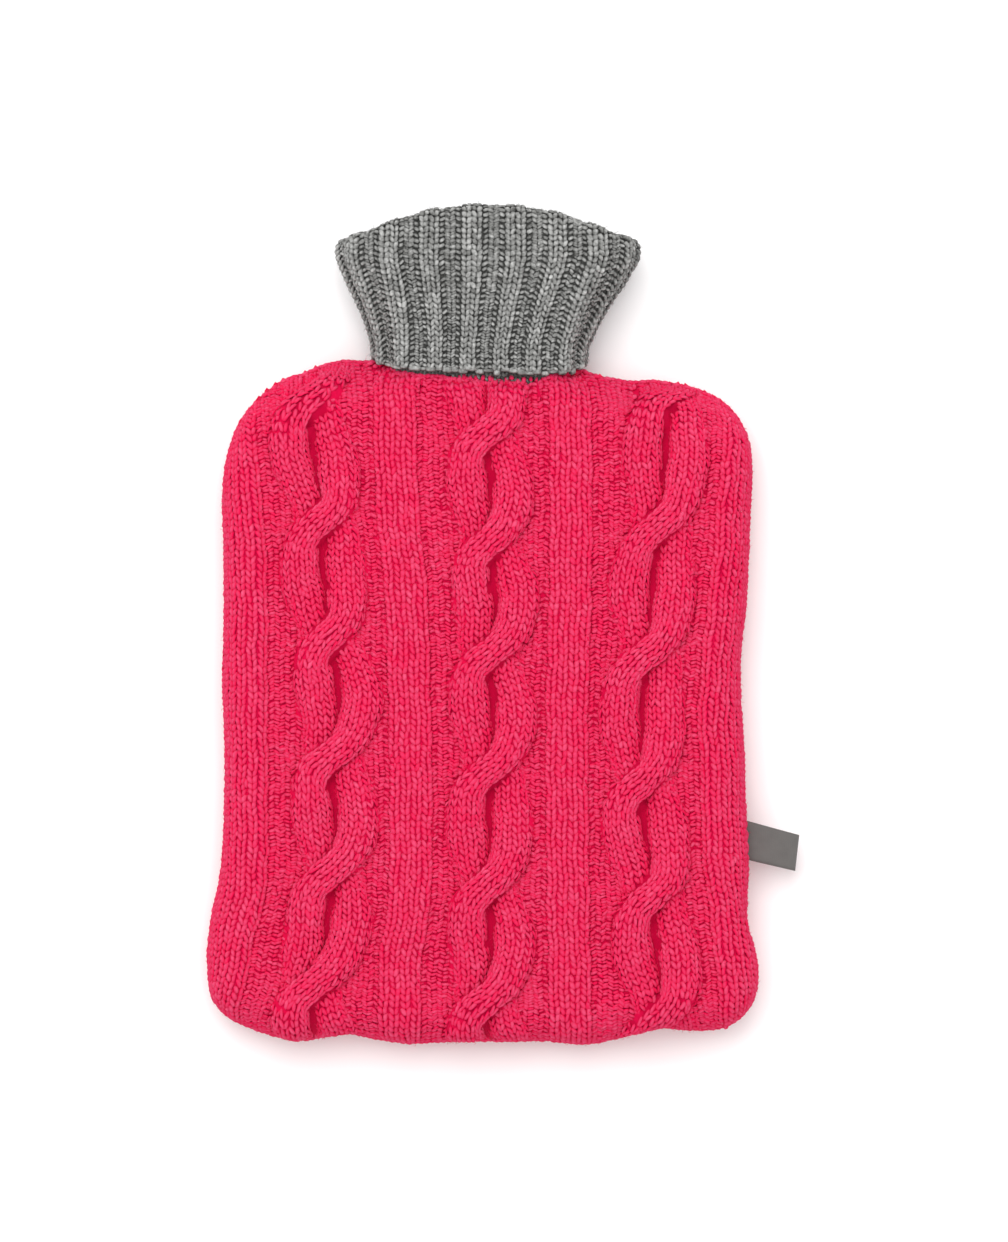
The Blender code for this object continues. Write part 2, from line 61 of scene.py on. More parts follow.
# %% The cover's own sizes
MM = 0.001
SEAM_HEIGHT = 17.0  # of the side seam above the table
SEAM_GAP = 0.3
FRONT_RISE = 17.0  # from the seam up to the gutters of the front
EDGE_ROUND = 16.0  # radius of the rounded edge, seen from above
CROWN, CROWN_REACH = 2.0, 60.0  # how much the middle stands above the sides, and over what width
NECK_TOP, NECK_DIP, NECK_SLOPE, NECK_EASE = 148.0, 11.0, 0.03, 48.0
NECK_LIFT, LIFT_START, LIFT_END = 5.5, 108.0, 137.0  # of the back, off the table
RELIEF_FULL = math.radians(60.0)  # how far round the edge the relief has its full height
RELIEF_END, RELIEF_END_EASE = 0.5, 7.0  # the relief starts this far below the neck, over this length

SEAM_LINE = (
    # x, y
    (-41.5, 148.0), (-41.5, 147.0), (-42.2, 145.2), (-45.2, 143.2), (-50.5, 142.6), (-58.0, 142.7),
    (-66.0, 141.0), (-75.0, 137.2), (-84.0, 134.0), (-93.5, 127.2), (-99.5, 121.0), (-103.8, 113.8),
    (-106.8, 105.0),
    (-108.4, 95.0), (-108.8, 84.0), (-108.2, 60.0), (-108.3, 30.0), (-108.8, 10.0), (-107.8, -18.0),
    (-108.3, -50.0), (-109.8, -70.0), (-112.6, -83.0), (-114.8, -97.0), (-115.0, -108.0), (-114.2, -118.0),
    (-111.4, -124.4), (-106.0, -129.6), (-97.5, -133.6), (-88.0, -137.0), (-77.0, -138.9), (-66.0, -137.4),
    (-55.5, -136.2), (-45.0, -138.2), (-31.0, -140.0), (-12.0, -139.2), (8.0, -139.2), (26.0, -139.0),
    (41.5, -140.4), (54.0, -138.4), (71.0, -133.8), (86.0, -134.6), (98.5, -133.8), (106.5, -129.8),
    (111.6, -123.6), (113.8, -116.0), (114.0, -108.0), (112.2, -99.0), (109.6, -90.0), (109.6, -78.0),
    (110.1, -62.0), (108.8, -38.0), (108.2, -16.0), (106.8, 4.0), (107.0, 24.0), (109.0, 42.0),
    (110.2, 64.0), (111.0, 86.0), (111.6, 98.0), (110.4, 110.5), (106.8, 120.0), (101.6, 127.0),
    (94.5, 132.2), (84.0, 136.0), (71.5, 137.8), (62.0, 137.4), (53.0, 138.4), (46.5, 139.6),
    (41.2, 141.8), (38.6, 144.8), (38.0, 147.0), (38.0, 148.0),
)
GRID_CORNERS = (
    # x, y of the corners where the sides of the sheets' grids meet
    (-101.5, 118.0), (-109.0, -127.0), (109.5, -127.0), (104.5, 123.5),
)
CABLE_CROSSINGS = {
    # x, y, and how far the cable bows to the right halfway to the next crossing
    "left": ((-73.0, -116.8, 3.4), (-63.8, -68.0, 1.8), (-63.8, -20.0, 4.2), (-65.1, 28.8, -0.6),
             (-67.2, 78.0, 0.0), (-73.5, 125.0, 0.0)),
    "middle": ((-0.4, -122.2, 3.0), (0.8, -74.2, 0.5), (2.5, -25.4, 1.8), (1.3, 21.7, 3.4),
               (1.7, 68.4, 1.5), (0.4, 113.5, 0.0)),
    "right": ((74.2, -127.2, -0.3), (69.2, -78.4, 0.0), (65.5, -30.4, -1.3), (68.0, 22.5, -0.6),
              (72.6, 75.1, 0.6), (76.5, 133.5, 0.0)),
}
STRAND_SWING, STRAND_STEEPNESS, TUCK_BELOW, TUCK_ABOVE = 9.9, 6.2, 0.46, 0.24
STRAND_HALF_WIDTH, STRAND_CROSSING_HALF, STRAND_UNDER_HALF, STRAND_BULGE = 8.3, 6.6, 6.9, 4.2
STRAND_LIFT, STRAND_SINK = 2.0, 2.4  # where a strand crosses over the other, and where it dives under it
STRAND_REACH = 1.12  # how far from its own crossing a strand is followed, counted in crossings
TUCK_START_BELOW, TUCK_START_ABOVE, TUCK_EASE = 0.4, 0.5, 0.6  # where a strand swings back to the middle
TIGHT_REACH_BELOW, TIGHT_REACH_ABOVE, UNDER_REACH = 0.38, 0.26, 0.25  # of a crossing's pull on the strands
SLOT_DEPTH, SLOT_HALF, SLOT_EASE = 1.8, 5.0, 4.0  # of the dark slots between the two strands
SLOT_END = 0.25  # they fade out above the last crossing, over this part of the way to the next
FLAT_COLUMNS = {
    "left": ((-35.0, -146.0), (-34.6, -105.0), (-30.9, -80.0), (-30.2, -39.0), (-30.9, 3.0), (-32.1, 45.0),
             (-35.9, 86.0), (-37.5, 142.0)),
    "right": ((36.0, -146.0), (35.9, -122.0), (35.0, -80.0), (34.6, -39.0), (34.6, 3.0), (35.9, 45.0),
              (36.3, 86.0), (35.9, 142.0)),
}
FLAT_HALF_WIDTH, FLAT_HEIGHT, FLAT_SQUARENESS, MARGIN_EASE = 9.0, 1.7, 4, 4.0
LEFT_MARGIN = (
    (-105.0, -140.0), (-102.0, -127.0), (-98.4, -114.0), (-95.1, -97.0), (-92.0, -84.0), (-89.3, -67.0),
    (-89.3, 3.0), (-89.3, 45.0), (-90.9, 78.0), (-92.6, 95.0), (-94.3, 111.0), (-97.6, 124.0),
    (-101.0, 134.0),
)
RIGHT_MARGIN = (
    (99.5, -140.0), (97.8, -127.0), (95.5, -105.0), (93.4, -85.0), (90.2, -60.0), (89.6, -30.0),
    (88.4, -5.0), (90.1, 20.0), (92.6, 45.0), (95.1, 66.0), (96.8, 90.0), (99.3, 111.0), (100.1, 124.0),
    (101.0, 134.0),
)
LABEL_MIDDLE, LABEL_ROOM, LABEL_ROOM_EASE, LABEL_THICKNESS = -55.0, 13.0, 9.0, 1.0
print(f"{len(SEAM_LINE)} points on the seam line, {len(CABLE_CROSSINGS['middle'])} crossings in each cable")

# %% [markdown]
# ## From a flat plan to the rounded cover
#
# The knitting is planned on a flat drawing and then laid round the cover. In the drawing the rounded edge
# is rolled out flat, so a stitch near the side seam keeps its real width. To lay a point on the cover,
# the nearest point of the seam is found: the distance to it says how far round the quarter circle of the
# edge the point lies.

# %% Curves and the seam line
OUTLINE_STEPS, CURVE_PARTS, LINE_STEPS = 900, 24, 160
NEAREST_BLOCK = 4000  # points looked up at a time, to keep the table of distances small
STEADY = 0.5  # this far off the seam, the way to its nearest point is steadier than the seam's own direction
TINY = 1e-9  # keeps a division by a length from failing


def smoothstep(value):
    """0 below 0, 1 above 1, and a soft S between them."""
    value = np.clip(value, 0.0, 1.0)
    return value * value * (3.0 - 2.0 * value)


def curve_through(points, count):
    """count points, evenly spaced, on a smooth (Catmull-Rom) curve through the given ones."""
    points = np.asarray(points, float)
    padded = np.vstack([2 * points[0] - points[1], points, 2 * points[-1] - points[-2]])
    part = np.linspace(0.0, 1.0, CURVE_PARTS, endpoint=False)[:, None]
    runs = [
        0.5 * (2 * start + (end - before) * part + (2 * before - 5 * start + 4 * end - after) * part**2
               + (3 * start - before - 3 * end + after) * part**3)
        for before, start, end, after in zip(padded, padded[1:], padded[2:], padded[3:])
    ]
    dense = np.vstack([*runs, points[-1:]])
    travelled = np.concatenate([[0.0], np.cumsum(np.linalg.norm(np.diff(dense, axis=0), axis=1))])
    steps = np.linspace(0.0, travelled[-1], count)
    return np.column_stack([np.interp(steps, travelled, column) for column in dense.T])


def along(line, y):
    """x at the heights y on a line that is given from the foot up."""
    dense = curve_through(line, LINE_STEPS)
    return np.interp(y, dense[:, 1], dense[:, 0])


OUTLINE = curve_through(SEAM_LINE, OUTLINE_STEPS)
STEP = float(np.mean(np.linalg.norm(np.diff(OUTLINE, axis=0), axis=1)))
TANGENT = np.gradient(OUTLINE, axis=0)
TANGENT /= np.linalg.norm(TANGENT, axis=1)[:, None]
TANGENT[0], TANGENT[-1] = (0.0, -1.0), (0.0, 1.0)
INWARD = np.column_stack([-TANGENT[:, 1], TANGENT[:, 0]])


def on_outline(station, inset):
    """Points at stations 0 to 1 along the seam, moved inwards by the inset, and the way inwards there."""
    place = np.asarray(station) * (OUTLINE_STEPS - 1)
    index = np.arange(OUTLINE_STEPS)
    point = np.column_stack([np.interp(place, index, column) for column in OUTLINE.T])
    inward = np.column_stack([np.interp(place, index, column) for column in INWARD.T])
    return point + inward * np.asarray(inset).reshape(-1, 1), inward


def nearest_on_seam(points):
    """The nearest point of the seam, the inward direction there, and how far inside it each point lies."""
    index = np.empty(len(points), int)
    for start in range(0, len(points), NEAREST_BLOCK):
        block = points[start:start + NEAREST_BLOCK]
        gap = (block[:, None, 0] - OUTLINE[None, :, 0]) ** 2 + (block[:, None, 1] - OUTLINE[None, :, 1]) ** 2
        index[start:start + NEAREST_BLOCK] = gap.argmin(axis=1)
    foot, distance = OUTLINE[index].copy(), np.full(len(points), np.inf)
    for neighbour in (np.maximum(index - 1, 0), np.minimum(index + 1, OUTLINE_STEPS - 1)):
        run = OUTLINE[neighbour] - OUTLINE[index]
        share = np.einsum("ij,ij->i", points - OUTLINE[index], run) / np.maximum((run**2).sum(axis=1), TINY)
        near = OUTLINE[index] + run * np.clip(share, 0.0, 1.0)[:, None]
        gap = np.linalg.norm(points - near, axis=1)
        foot[gap < distance] = near[gap < distance]
        distance = np.minimum(distance, gap)
    away = points - foot
    side = np.where(np.einsum("ij,ij->i", away, INWARD[index]) < 0.0, -1.0, 1.0)
    steady = (distance > STEADY)[:, None]
    inward = np.where(steady, side[:, None] * away / np.maximum(distance, STEADY)[:, None], INWARD[index])
    return foot, inward, side * distance


print(f"seam: {STEP * OUTLINE_STEPS:.0f} mm long, a point every {STEP:.2f} mm")

# %% Lay a point of the drawing on the front or the back
QUARTER = EDGE_ROUND * math.pi / 2  # length of the rounded edge, rolled out
ROLLED_OUT = QUARTER - EDGE_ROUND  # how far outside the seam line it then reaches
UNBEND_STEPS, UNBEND_SHARE = 20, 0.7  # towards the place in the drawing, and how far each step goes


def neck_share(y):
    """How much of the neck's dip is felt at a height."""
    return smoothstep((y - NECK_TOP + NECK_EASE) / NECK_EASE)


def back_height(y):
    """Height of the underside: flat on the table, and lifted towards the neck."""
    return NECK_LIFT * smoothstep((y - LIFT_START) / (LIFT_END - LIFT_START))


def seam_opening(x, y):
    """How far the front's edge is lifted to let the label in."""
    near = 1.0 - smoothstep((np.abs(y - LABEL_MIDDLE) - LABEL_ROOM) / LABEL_ROOM_EASE)
    return (LABEL_THICKNESS + SEAM_GAP) * np.where(x > 0, near, 0.0)


def lay(plan, turn, inward, height, lift, is_front):
    """Places in space. plan is where points lie seen from above, turn how far round the edge they are (a
    quarter turn on the flat), height that of the relief, which fades at the edges, and lift that of a thing
    on it."""
    x, y = plan.T
    up = np.sin(turn)
    y = y - (NECK_DIP * up + NECK_SLOPE * x) * neck_share(y)
    if is_front:
        seam = SEAM_HEIGHT + SEAM_GAP / 2 + seam_opening(x, y) * (1.0 - up)
        inside = nearest_on_seam(plan)[2]
        crown = CROWN * smoothstep((inside - EDGE_ROUND) / CROWN_REACH)
        crown = crown * smoothstep((NECK_TOP - NECK_DIP - y) / CROWN_REACH)
        z = seam + (SEAM_HEIGHT + FRONT_RISE - seam) * up + crown
        normal = np.column_stack([-inward * np.cos(turn)[:, None], up])
    else:
        seam = SEAM_HEIGHT - SEAM_GAP / 2
        z = seam - (seam - back_height(y)) * up
        normal = np.column_stack([-inward * np.cos(turn)[:, None], -up])
    below_neck = NECK_TOP - NECK_DIP * up - y
    fade = smoothstep(turn / RELIEF_FULL) * smoothstep((below_neck - RELIEF_END) / RELIEF_END_EASE)
    return np.column_stack([x, y, z]) + normal * (height * fade + lift)[:, None]


def unbent(drawing):
    """The drawing shows the neck's dip. This takes it out again."""
    reach = drawing.copy()
    near_neck = drawing[:, 1] > NECK_TOP - NECK_EASE - NECK_DIP
    part = drawing[near_neck]
    for _ in range(UNBEND_STEPS):
        inside = nearest_on_seam(part)[2]
        turn = np.clip((inside + ROLLED_OUT) / EDGE_ROUND, 0.0, math.pi / 2)
        off = drawing[near_neck, 1] + NECK_DIP * np.sin(turn) * neck_share(part[:, 1]) - part[:, 1]
        part[:, 1] += UNBEND_SHARE * off
    reach[near_neck] = part
    return reach


def place_on(drawing, height, lift, is_front):
    """Places in space for points of the drawing, and how far along the rolled-out edge they lie."""
    reach = unbent(drawing)
    foot, inward, inside = nearest_on_seam(reach)
    turn = np.clip((inside + ROLLED_OUT) / EDGE_ROUND, 0.0, math.pi / 2)
    on_flat = (inside >= EDGE_ROUND)[:, None]
    plan = np.where(on_flat, reach, foot + inward * (EDGE_ROUND * (1.0 - np.cos(turn)))[:, None])
    return lay(plan, turn, inward, height, lift, is_front), inside + ROLLED_OUT


thickness = place_on(np.zeros((1, 2)), 0.0, 0.0, True)[0][0, 2]
print(f"the cover is {thickness:.1f} mm thick in the middle, without its cables")

# %% [markdown]
# ## The relief of the front
#
# A rope cable is two broad strands that change places every 18 rows. Each strand is a rounded band of
# stockinette. Its middle line swings from the left of the cable to the right through a steep S, rises to
# pass over the other strand, and dives to pass under it at the next crossing. The relief is the highest
# of all the strands at each place.

# %% Height of the relief
FOOT_STEPS, FOOT_SHARE = 6, 0.7  # Newton steps to the nearest point of a strand
SLOPE_STEP = 0.01


def strand_middle(turn):
    """How far a strand's middle lies right of the cable's, turn being counted in crossings from its own."""
    share = np.where(turn < 0.0, TUCK_BELOW, TUCK_ABOVE)
    start = np.where(turn < 0.0, TUCK_START_BELOW, TUCK_START_ABOVE)
    tuck = 1.0 - share * smoothstep((np.abs(turn) - start) / TUCK_EASE)
    return STRAND_SWING * np.tanh(STRAND_STEEPNESS * turn) * tuck


def tightness(turn):
    """How tight a strand is drawn by crossing over, from 0 to 1."""
    return np.exp(-((turn / np.where(turn < 0.0, TIGHT_REACH_BELOW, TIGHT_REACH_ABOVE)) ** 2))


def strand_half(turn):
    """Half width of a strand, drawn tight where it crosses over and where the other strand holds it down."""
    under = np.exp(-(((np.abs(turn) - 1.0) / UNDER_REACH) ** 2))
    half = STRAND_HALF_WIDTH - (STRAND_HALF_WIDTH - STRAND_CROSSING_HALF) * tightness(turn)
    return half - (STRAND_HALF_WIDTH - STRAND_UNDER_HALF) * under


def strand_height(turn, across):
    """Height of a strand's back, across being 0 at its middle and 1 at its edge."""
    lift = 0.5 * (STRAND_LIFT + STRAND_SINK) * np.cos(math.pi * turn)
    lift = lift + 0.5 * (STRAND_LIFT - STRAND_SINK) * np.cos(2.0 * math.pi * turn)
    return lift + STRAND_BULGE * np.sqrt(1.0 - np.clip(np.abs(across), 0.0, 1.0) ** 2)


def with_ends(crossings):
    """A cable's crossings and one more beyond each end, its bowed middle line, and the rise between them."""
    crossings = np.asarray(crossings)
    pitch = np.mean(np.diff(crossings[:, 1]))
    middles = np.vstack([crossings[0] - (0, pitch, 0), crossings, crossings[-1] + (0, pitch, 0)])
    line = np.repeat(middles[:, :2], 2, axis=0)[:-1]
    line[1::2] = (middles[:-1, :2] + middles[1:, :2]) / 2 + np.outer(middles[:-1, 2], (1.0, 0.0))
    return middles, line, pitch


def cable_height(x, y, crossings):
    """Height of the strands of a rope cable, and how deep the ground between them lies."""
    middles, line, pitch = with_ends(crossings)
    counted = np.interp(y, middles[:, 1], np.arange(len(middles)))
    across = x - along(line, y)
    slot = SLOT_DEPTH * (1.0 - smoothstep((np.abs(across) - SLOT_HALF) / SLOT_EASE))
    slot = slot * (1.0 - smoothstep((counted - len(middles) + 2) / SLOT_END))
    height = np.full(np.shape(x), -STRAND_SINK)
    for crossing in range(len(middles) + 1):
        level = counted - crossing
        turn = level
        for _ in range(FOOT_STEPS):
            off = across - strand_middle(turn)
            slope = (strand_middle(turn + SLOPE_STEP) - strand_middle(turn - SLOPE_STEP)) / (2 * SLOPE_STEP)
            turn = turn + FOOT_SHARE * (off * slope + (level - turn) * pitch**2) / (slope**2 + pitch**2)
        off = np.hypot(across - strand_middle(turn), (level - turn) * pitch) / strand_half(turn)
        shows = (np.abs(turn) < STRAND_REACH) & (off < 1.0)
        height = np.maximum(height, np.where(shows, strand_height(turn, off), -STRAND_SINK))
    return height, slot


def slot_share(x, y):
    """1 in the middle of a cable, where the dark slots are, and 0 off it."""
    return sum(cable_height(x, y, crossings)[1] for crossings in CABLE_CROSSINGS.values()) / SLOT_DEPTH


def front_relief(x, y):
    """Height of the cables, the flat columns and the margins above the gutters between them."""
    cables = [cable_height(x, y, crossings) for crossings in CABLE_CROSSINGS.values()]
    height = -sum(slot for _, slot in cables)
    for strands, _ in cables:
        height = np.maximum(height, strands)
    for line in FLAT_COLUMNS.values():
        off = np.clip(np.abs(x - along(line, y)) / FLAT_HALF_WIDTH, 0.0, 1.0)
        height = np.maximum(height, FLAT_HEIGHT * np.sqrt(1.0 - off**FLAT_SQUARENESS))
    left = smoothstep((along(LEFT_MARGIN, y) - x) / MARGIN_EASE)
    right = smoothstep((x - along(RIGHT_MARGIN, y)) / MARGIN_EASE)
    return np.maximum(height, FLAT_HEIGHT * np.maximum(left, right))


peak = front_relief(*np.array([crossing[:2] for crossing in CABLE_CROSSINGS["middle"]]).T).max()
print(f"the middle cable stands {peak:.1f} mm above the gutters at its crossings")

# %% [markdown]
# ## Materials
#
# Lambswool yarn is matt and softly hairy: light sinks in between the fibres and comes back more
# saturated, and the hairs catch a faint pale sheen at grazing angles. So the colour is a deep one with a
# high roughness and some sheen. On each stitch the colour is also painted: painted shade on its lower
# flanks and on the ground between the stitches, and a painted highlight on its top. Two plies twisted
# together show as slanting ridges on each stitch, and each stitch is a little lighter or darker than the
# next. The label is a fine polyester tape, smooth and slightly glossier.

# %% Helpers for node trees
def linear(colour):
    """A hex colour as linear red, green and blue, with alpha 1."""
    parts = [int(colour[i:i + 2], 16) / 255.0 for i in (1, 3, 5)]
    return (*[p / 12.92 if p <= 0.04045 else ((p + 0.055) / 1.055) ** 2.4 for p in parts], 1.0)


def add_node(tree, kind, settings=(), inputs=()):
    """Adds a node. settings are its properties; inputs are values or other nodes' sockets."""
    node = tree.nodes.new(kind)
    for name, value in dict(settings).items():
        setattr(node, name, value)
    for name, value in dict(inputs).items():
        if isinstance(value, bpy.types.NodeSocket):
            tree.links.new(value, node.inputs[name])
        else:
            node.inputs[name].default_value = value
    return node


def maths(tree, operation, *values, clamped=False):
    """The result of a new Math node."""
    settings = {"operation": operation, "use_clamp": clamped}
    return add_node(tree, "ShaderNodeMath", settings, dict(enumerate(values))).outputs[0]


def noise(tree, place, size, detail):
    """The value of a new noise, with spots of about the given size in millimetres."""
    inputs = {"Vector": place, "Scale": 1.0 / (size * MM), "Detail": detail}
    return add_node(tree, "ShaderNodeTexNoise", (), inputs).outputs["Fac"]


def empty_material(name):
    """A new material without nodes, its tree, and the place on the object to lay its patterns by."""
    material = bpy.data.materials.new(name)
    material.use_nodes = True
    tree = material.node_tree
    tree.nodes.clear()
    return material, tree, add_node(tree, "ShaderNodeTexCoord").outputs["Object"]


print("a middle grey in linear light:", np.round(linear("#808080"), 3).tolist())

# %% Lambswool
FIBRE_SIZE = 0.6  # a few wool fibres together, the finest that shows
FLECK_SIZE = 1.4  # a light or dark stretch of the marl
FADING_SIZE = 35.0  # an area that is a little paler or deeper than the rest
SHADE_START = 0.2  # on the way from the dark end of the colours to the pale one
# the first weight paints a highlight on the top of each stitch and shade on its lower flanks
PAINTED_LIGHT_BY_HEIGHT, TONE_WEIGHT, FADING_WEIGHT = 0.4, 0.06, 0.12
DEEP_AT, BODY_AT = 0.2, 0.5  # where the two middle colours lie on that way
PLY_TURNS, PLY_LEAN, PLY_RIDGE = 2.0, 3.0, 0.35  # of the two plies on one half stitch
BUMP_HEIGHT = 0.3


def lambswool(name, dark, deep, body, top, flecks):
    """Two-ply wool yarn. The colour goes by the height in the stitch: painted shade, deeper in colour, on
    its lower flanks and on the ground, and a painted highlight, paler, on its top."""
    material, tree, place = empty_material(name)
    tone = add_node(tree, "ShaderNodeAttribute", {"attribute_name": "tone"}).outputs["Fac"]
    spot = add_node(tree, "ShaderNodeAttribute", {"attribute_name": "in_leg"}).outputs["Vector"]
    across, height, length = add_node(tree, "ShaderNodeSeparateXYZ", (), {0: spot}).outputs
    # painted shade low on each stitch and a painted highlight on its top, by the height in the stitch
    shade = maths(tree, "MULTIPLY_ADD", height, PAINTED_LIGHT_BY_HEIGHT, SHADE_START)
    shade = maths(tree, "MULTIPLY_ADD", tone, TONE_WEIGHT, shade)
    shade = maths(tree, "MULTIPLY_ADD", noise(tree, place, FADING_SIZE, 2.0), FADING_WEIGHT, shade)
    shade = maths(tree, "MULTIPLY_ADD", noise(tree, place, FLECK_SIZE, 1.0), flecks, shade)
    shade = maths(tree, "SUBTRACT", shade, (FADING_WEIGHT + flecks) / 2, clamped=True)
    # the colours from dark to pale: painted shade for the ground, painted shade for the low flanks, the
    # yarn's own colour, and a painted highlight for the tops
    colour = add_node(tree, "ShaderNodeValToRGB", (), {"Fac": shade})
    ramp = colour.color_ramp.elements
    ramp[0].color, ramp[1].color = linear(dark), linear(top)
    ramp.new(DEEP_AT).color = linear(deep)
    ramp.new(BODY_AT).color = linear(body)
    lean = maths(tree, "MULTIPLY", across, PLY_LEAN)
    twist = maths(tree, "MULTIPLY_ADD", length, PLY_TURNS * math.pi, lean)
    fibres = noise(tree, place, FIBRE_SIZE, 2.0)
    ridge = maths(tree, "MULTIPLY_ADD", maths(tree, "SINE", twist), PLY_RIDGE, fibres)
    bump = add_node(tree, "ShaderNodeBump", (),
                    {"Strength": 0.5, "Distance": BUMP_HEIGHT * MM, "Height": ridge})
    shader = add_node(tree, "ShaderNodeBsdfPrincipled", (), {
        "Base Color": colour.outputs["Color"], "Roughness": 0.95, "Specular IOR Level": 0.1,
        "Sheen Weight": 0.04, "Sheen Roughness": 0.6, "Sheen Tint": linear(top), "Normal": bump.outputs[0],
    })
    add_node(tree, "ShaderNodeOutputMaterial", (), {"Surface": shader.outputs[0]})
    return material


# from dark to pale: painted shade for the ground, painted shade for the stitches' low flanks, the yarn's own
# colour, and a painted highlight for their tops; then how strong the marl's flecks are
PINK_WOOL = lambswool("pink lambswool, two plies", "#B60034", "#DE0846", "#D8365F", "#E86488", 0.15)
GREY_WOOL = lambswool("grey marl lambswool, two plies", "#323231", "#4C4C4A", "#8C8C8A", "#DADAD8", 0.6)
print("materials:", [material.name for material in (PINK_WOOL, GREY_WOOL)])

# %% [markdown]
# ## A piece of yarn on each point
#
# One half of a knit stitch is a short, plump piece of yarn that slants over the surface and dives in at
# both ends. The tree below makes it from a coarse sphere, drawn out along Z and bent down at its ends,
# and sets a copy on each point of a cloud. The points carry their own heading, facing, size and tone,
# because every stitch on a real cover differs; the tone also carries painted shade and painted light
# where stitches lie low or stand out. The underside of the yarn lies against the sheet and never shows,
# so the tree leaves it out, which halves the mesh.

# %% The Geometry Nodes tree for stitches
YARN_INPUTS = {
    "Sides": "NodeSocketInt", "Rings": "NodeSocketInt", "Plumpness": "NodeSocketFloat",
    "Arch": "NodeSocketFloat", "Underside": "NodeSocketFloat", "Yarn": "NodeSocketMaterial",
}
CARRIED = ("heading", "facing", "size")  # by each point, for the tree


def stitch_tree():
    """Sets a bent, plump piece of yarn on each point, and makes all of them real."""
    tree = bpy.data.node_groups.new("yarn on points", "GeometryNodeTree")
    face = tree.interface
    face.new_socket("Geometry", in_out="OUTPUT", socket_type="NodeSocketGeometry")
    face.new_socket("Geometry", in_out="INPUT", socket_type="NodeSocketGeometry")
    for name, kind in YARN_INPUTS.items():
        face.new_socket(name, in_out="INPUT", socket_type=kind)
    given = add_node(tree, "NodeGroupInput").outputs
    ball = add_node(tree, "GeometryNodeMeshUVSphere", (),
                    {"Segments": given["Sides"], "Rings": given["Rings"], "Radius": 1.0})
    spot = add_node(tree, "GeometryNodeInputPosition").outputs[0]
    kept = add_node(tree, "GeometryNodeStoreNamedAttribute",
                    {"data_type": "FLOAT_VECTOR", "domain": "POINT"},
                    {"Geometry": ball.outputs["Mesh"], "Name": "in_leg", "Value": spot})
    across, height, length = add_node(tree, "ShaderNodeSeparateXYZ", (), {0: spot}).outputs
    hidden = add_node(tree, "FunctionNodeCompare", {"operation": "LESS_THAN"},
                      {0: height, 1: given["Underside"]})
    shell = add_node(tree, "GeometryNodeDeleteGeometry", {"domain": "FACE"},
                     {"Geometry": kept.outputs["Geometry"], "Selection": hidden.outputs[0]})
    squared = maths(tree, "MULTIPLY", length, length)
    fuller = maths(tree, "MULTIPLY_ADD", squared, given["Plumpness"], 1.0)
    sag = maths(tree, "MULTIPLY", squared, given["Arch"])
    wide = maths(tree, "MULTIPLY", across, fuller)
    bent = maths(tree, "SUBTRACT", maths(tree, "MULTIPLY", height, fuller), sag)
    shape = add_node(tree, "ShaderNodeCombineXYZ", (), {0: wide, 1: bent, 2: length})
    yarn = add_node(tree, "GeometryNodeSetPosition", (),
                    {"Geometry": shell.outputs["Geometry"], "Position": shape.outputs[0]})
    heading, facing, size = (
        add_node(tree, "GeometryNodeInputNamedAttribute", {"data_type": "FLOAT_VECTOR"},
                 {"Name": name}).outputs["Attribute"]
        for name in CARRIED
    )
    turned = add_node(tree, "FunctionNodeAxesToRotation", {"primary_axis": "Z", "secondary_axis": "Y"},
                      {0: heading, 1: facing})
    laid = add_node(tree, "GeometryNodeInstanceOnPoints", (), {
        "Points": given["Geometry"], "Instance": yarn.outputs["Geometry"],
        "Rotation": turned.outputs[0], "Scale": size,
    })
    real = add_node(tree, "GeometryNodeRealizeInstances", (), {"Geometry": laid.outputs["Instances"]})
    smooth = add_node(tree, "GeometryNodeSetShadeSmooth", (), {"Geometry": real.outputs["Geometry"]})
    dressed = add_node(tree, "GeometryNodeSetMaterial", (),
                       {"Geometry": smooth.outputs["Geometry"], "Material": given["Yarn"]})
    add_node(tree, "NodeGroupOutput", (), {0: dressed.outputs["Geometry"]})
    return tree


STITCH_TREE = stitch_tree()
print(f"{STITCH_TREE.name}: {len(STITCH_TREE.nodes)} nodes, with the inputs {', '.join(YARN_INPUTS)}")

# %% Knit a piece
PRESSED = 1.45  # half thicknesses from the table up to the middle of a stitch that rests on it
pieces, placed = {}, {}


def point_cloud(name, legs):
    """An object with a point for each half stitch, which carries what the tree asks for."""
    cloud = bpy.data.meshes.new(name + "_points")
    cloud.from_pydata((legs["place"] * MM).tolist(), [], [])
    for attribute, kind, field, scale in (
        ("heading", "FLOAT_VECTOR", "vector", 1.0), ("facing", "FLOAT_VECTOR", "vector", 1.0),
        ("size", "FLOAT_VECTOR", "vector", MM), ("tone", "FLOAT", "value", 1.0),
    ):
        layer = cloud.attributes.new(attribute, kind, "POINT")
        layer.data.foreach_set(field, (legs[attribute] * scale).astype(np.float32).ravel())
    points = bpy.data.objects.new(name, cloud)
    bpy.context.scene.collection.objects.link(points)
    return points


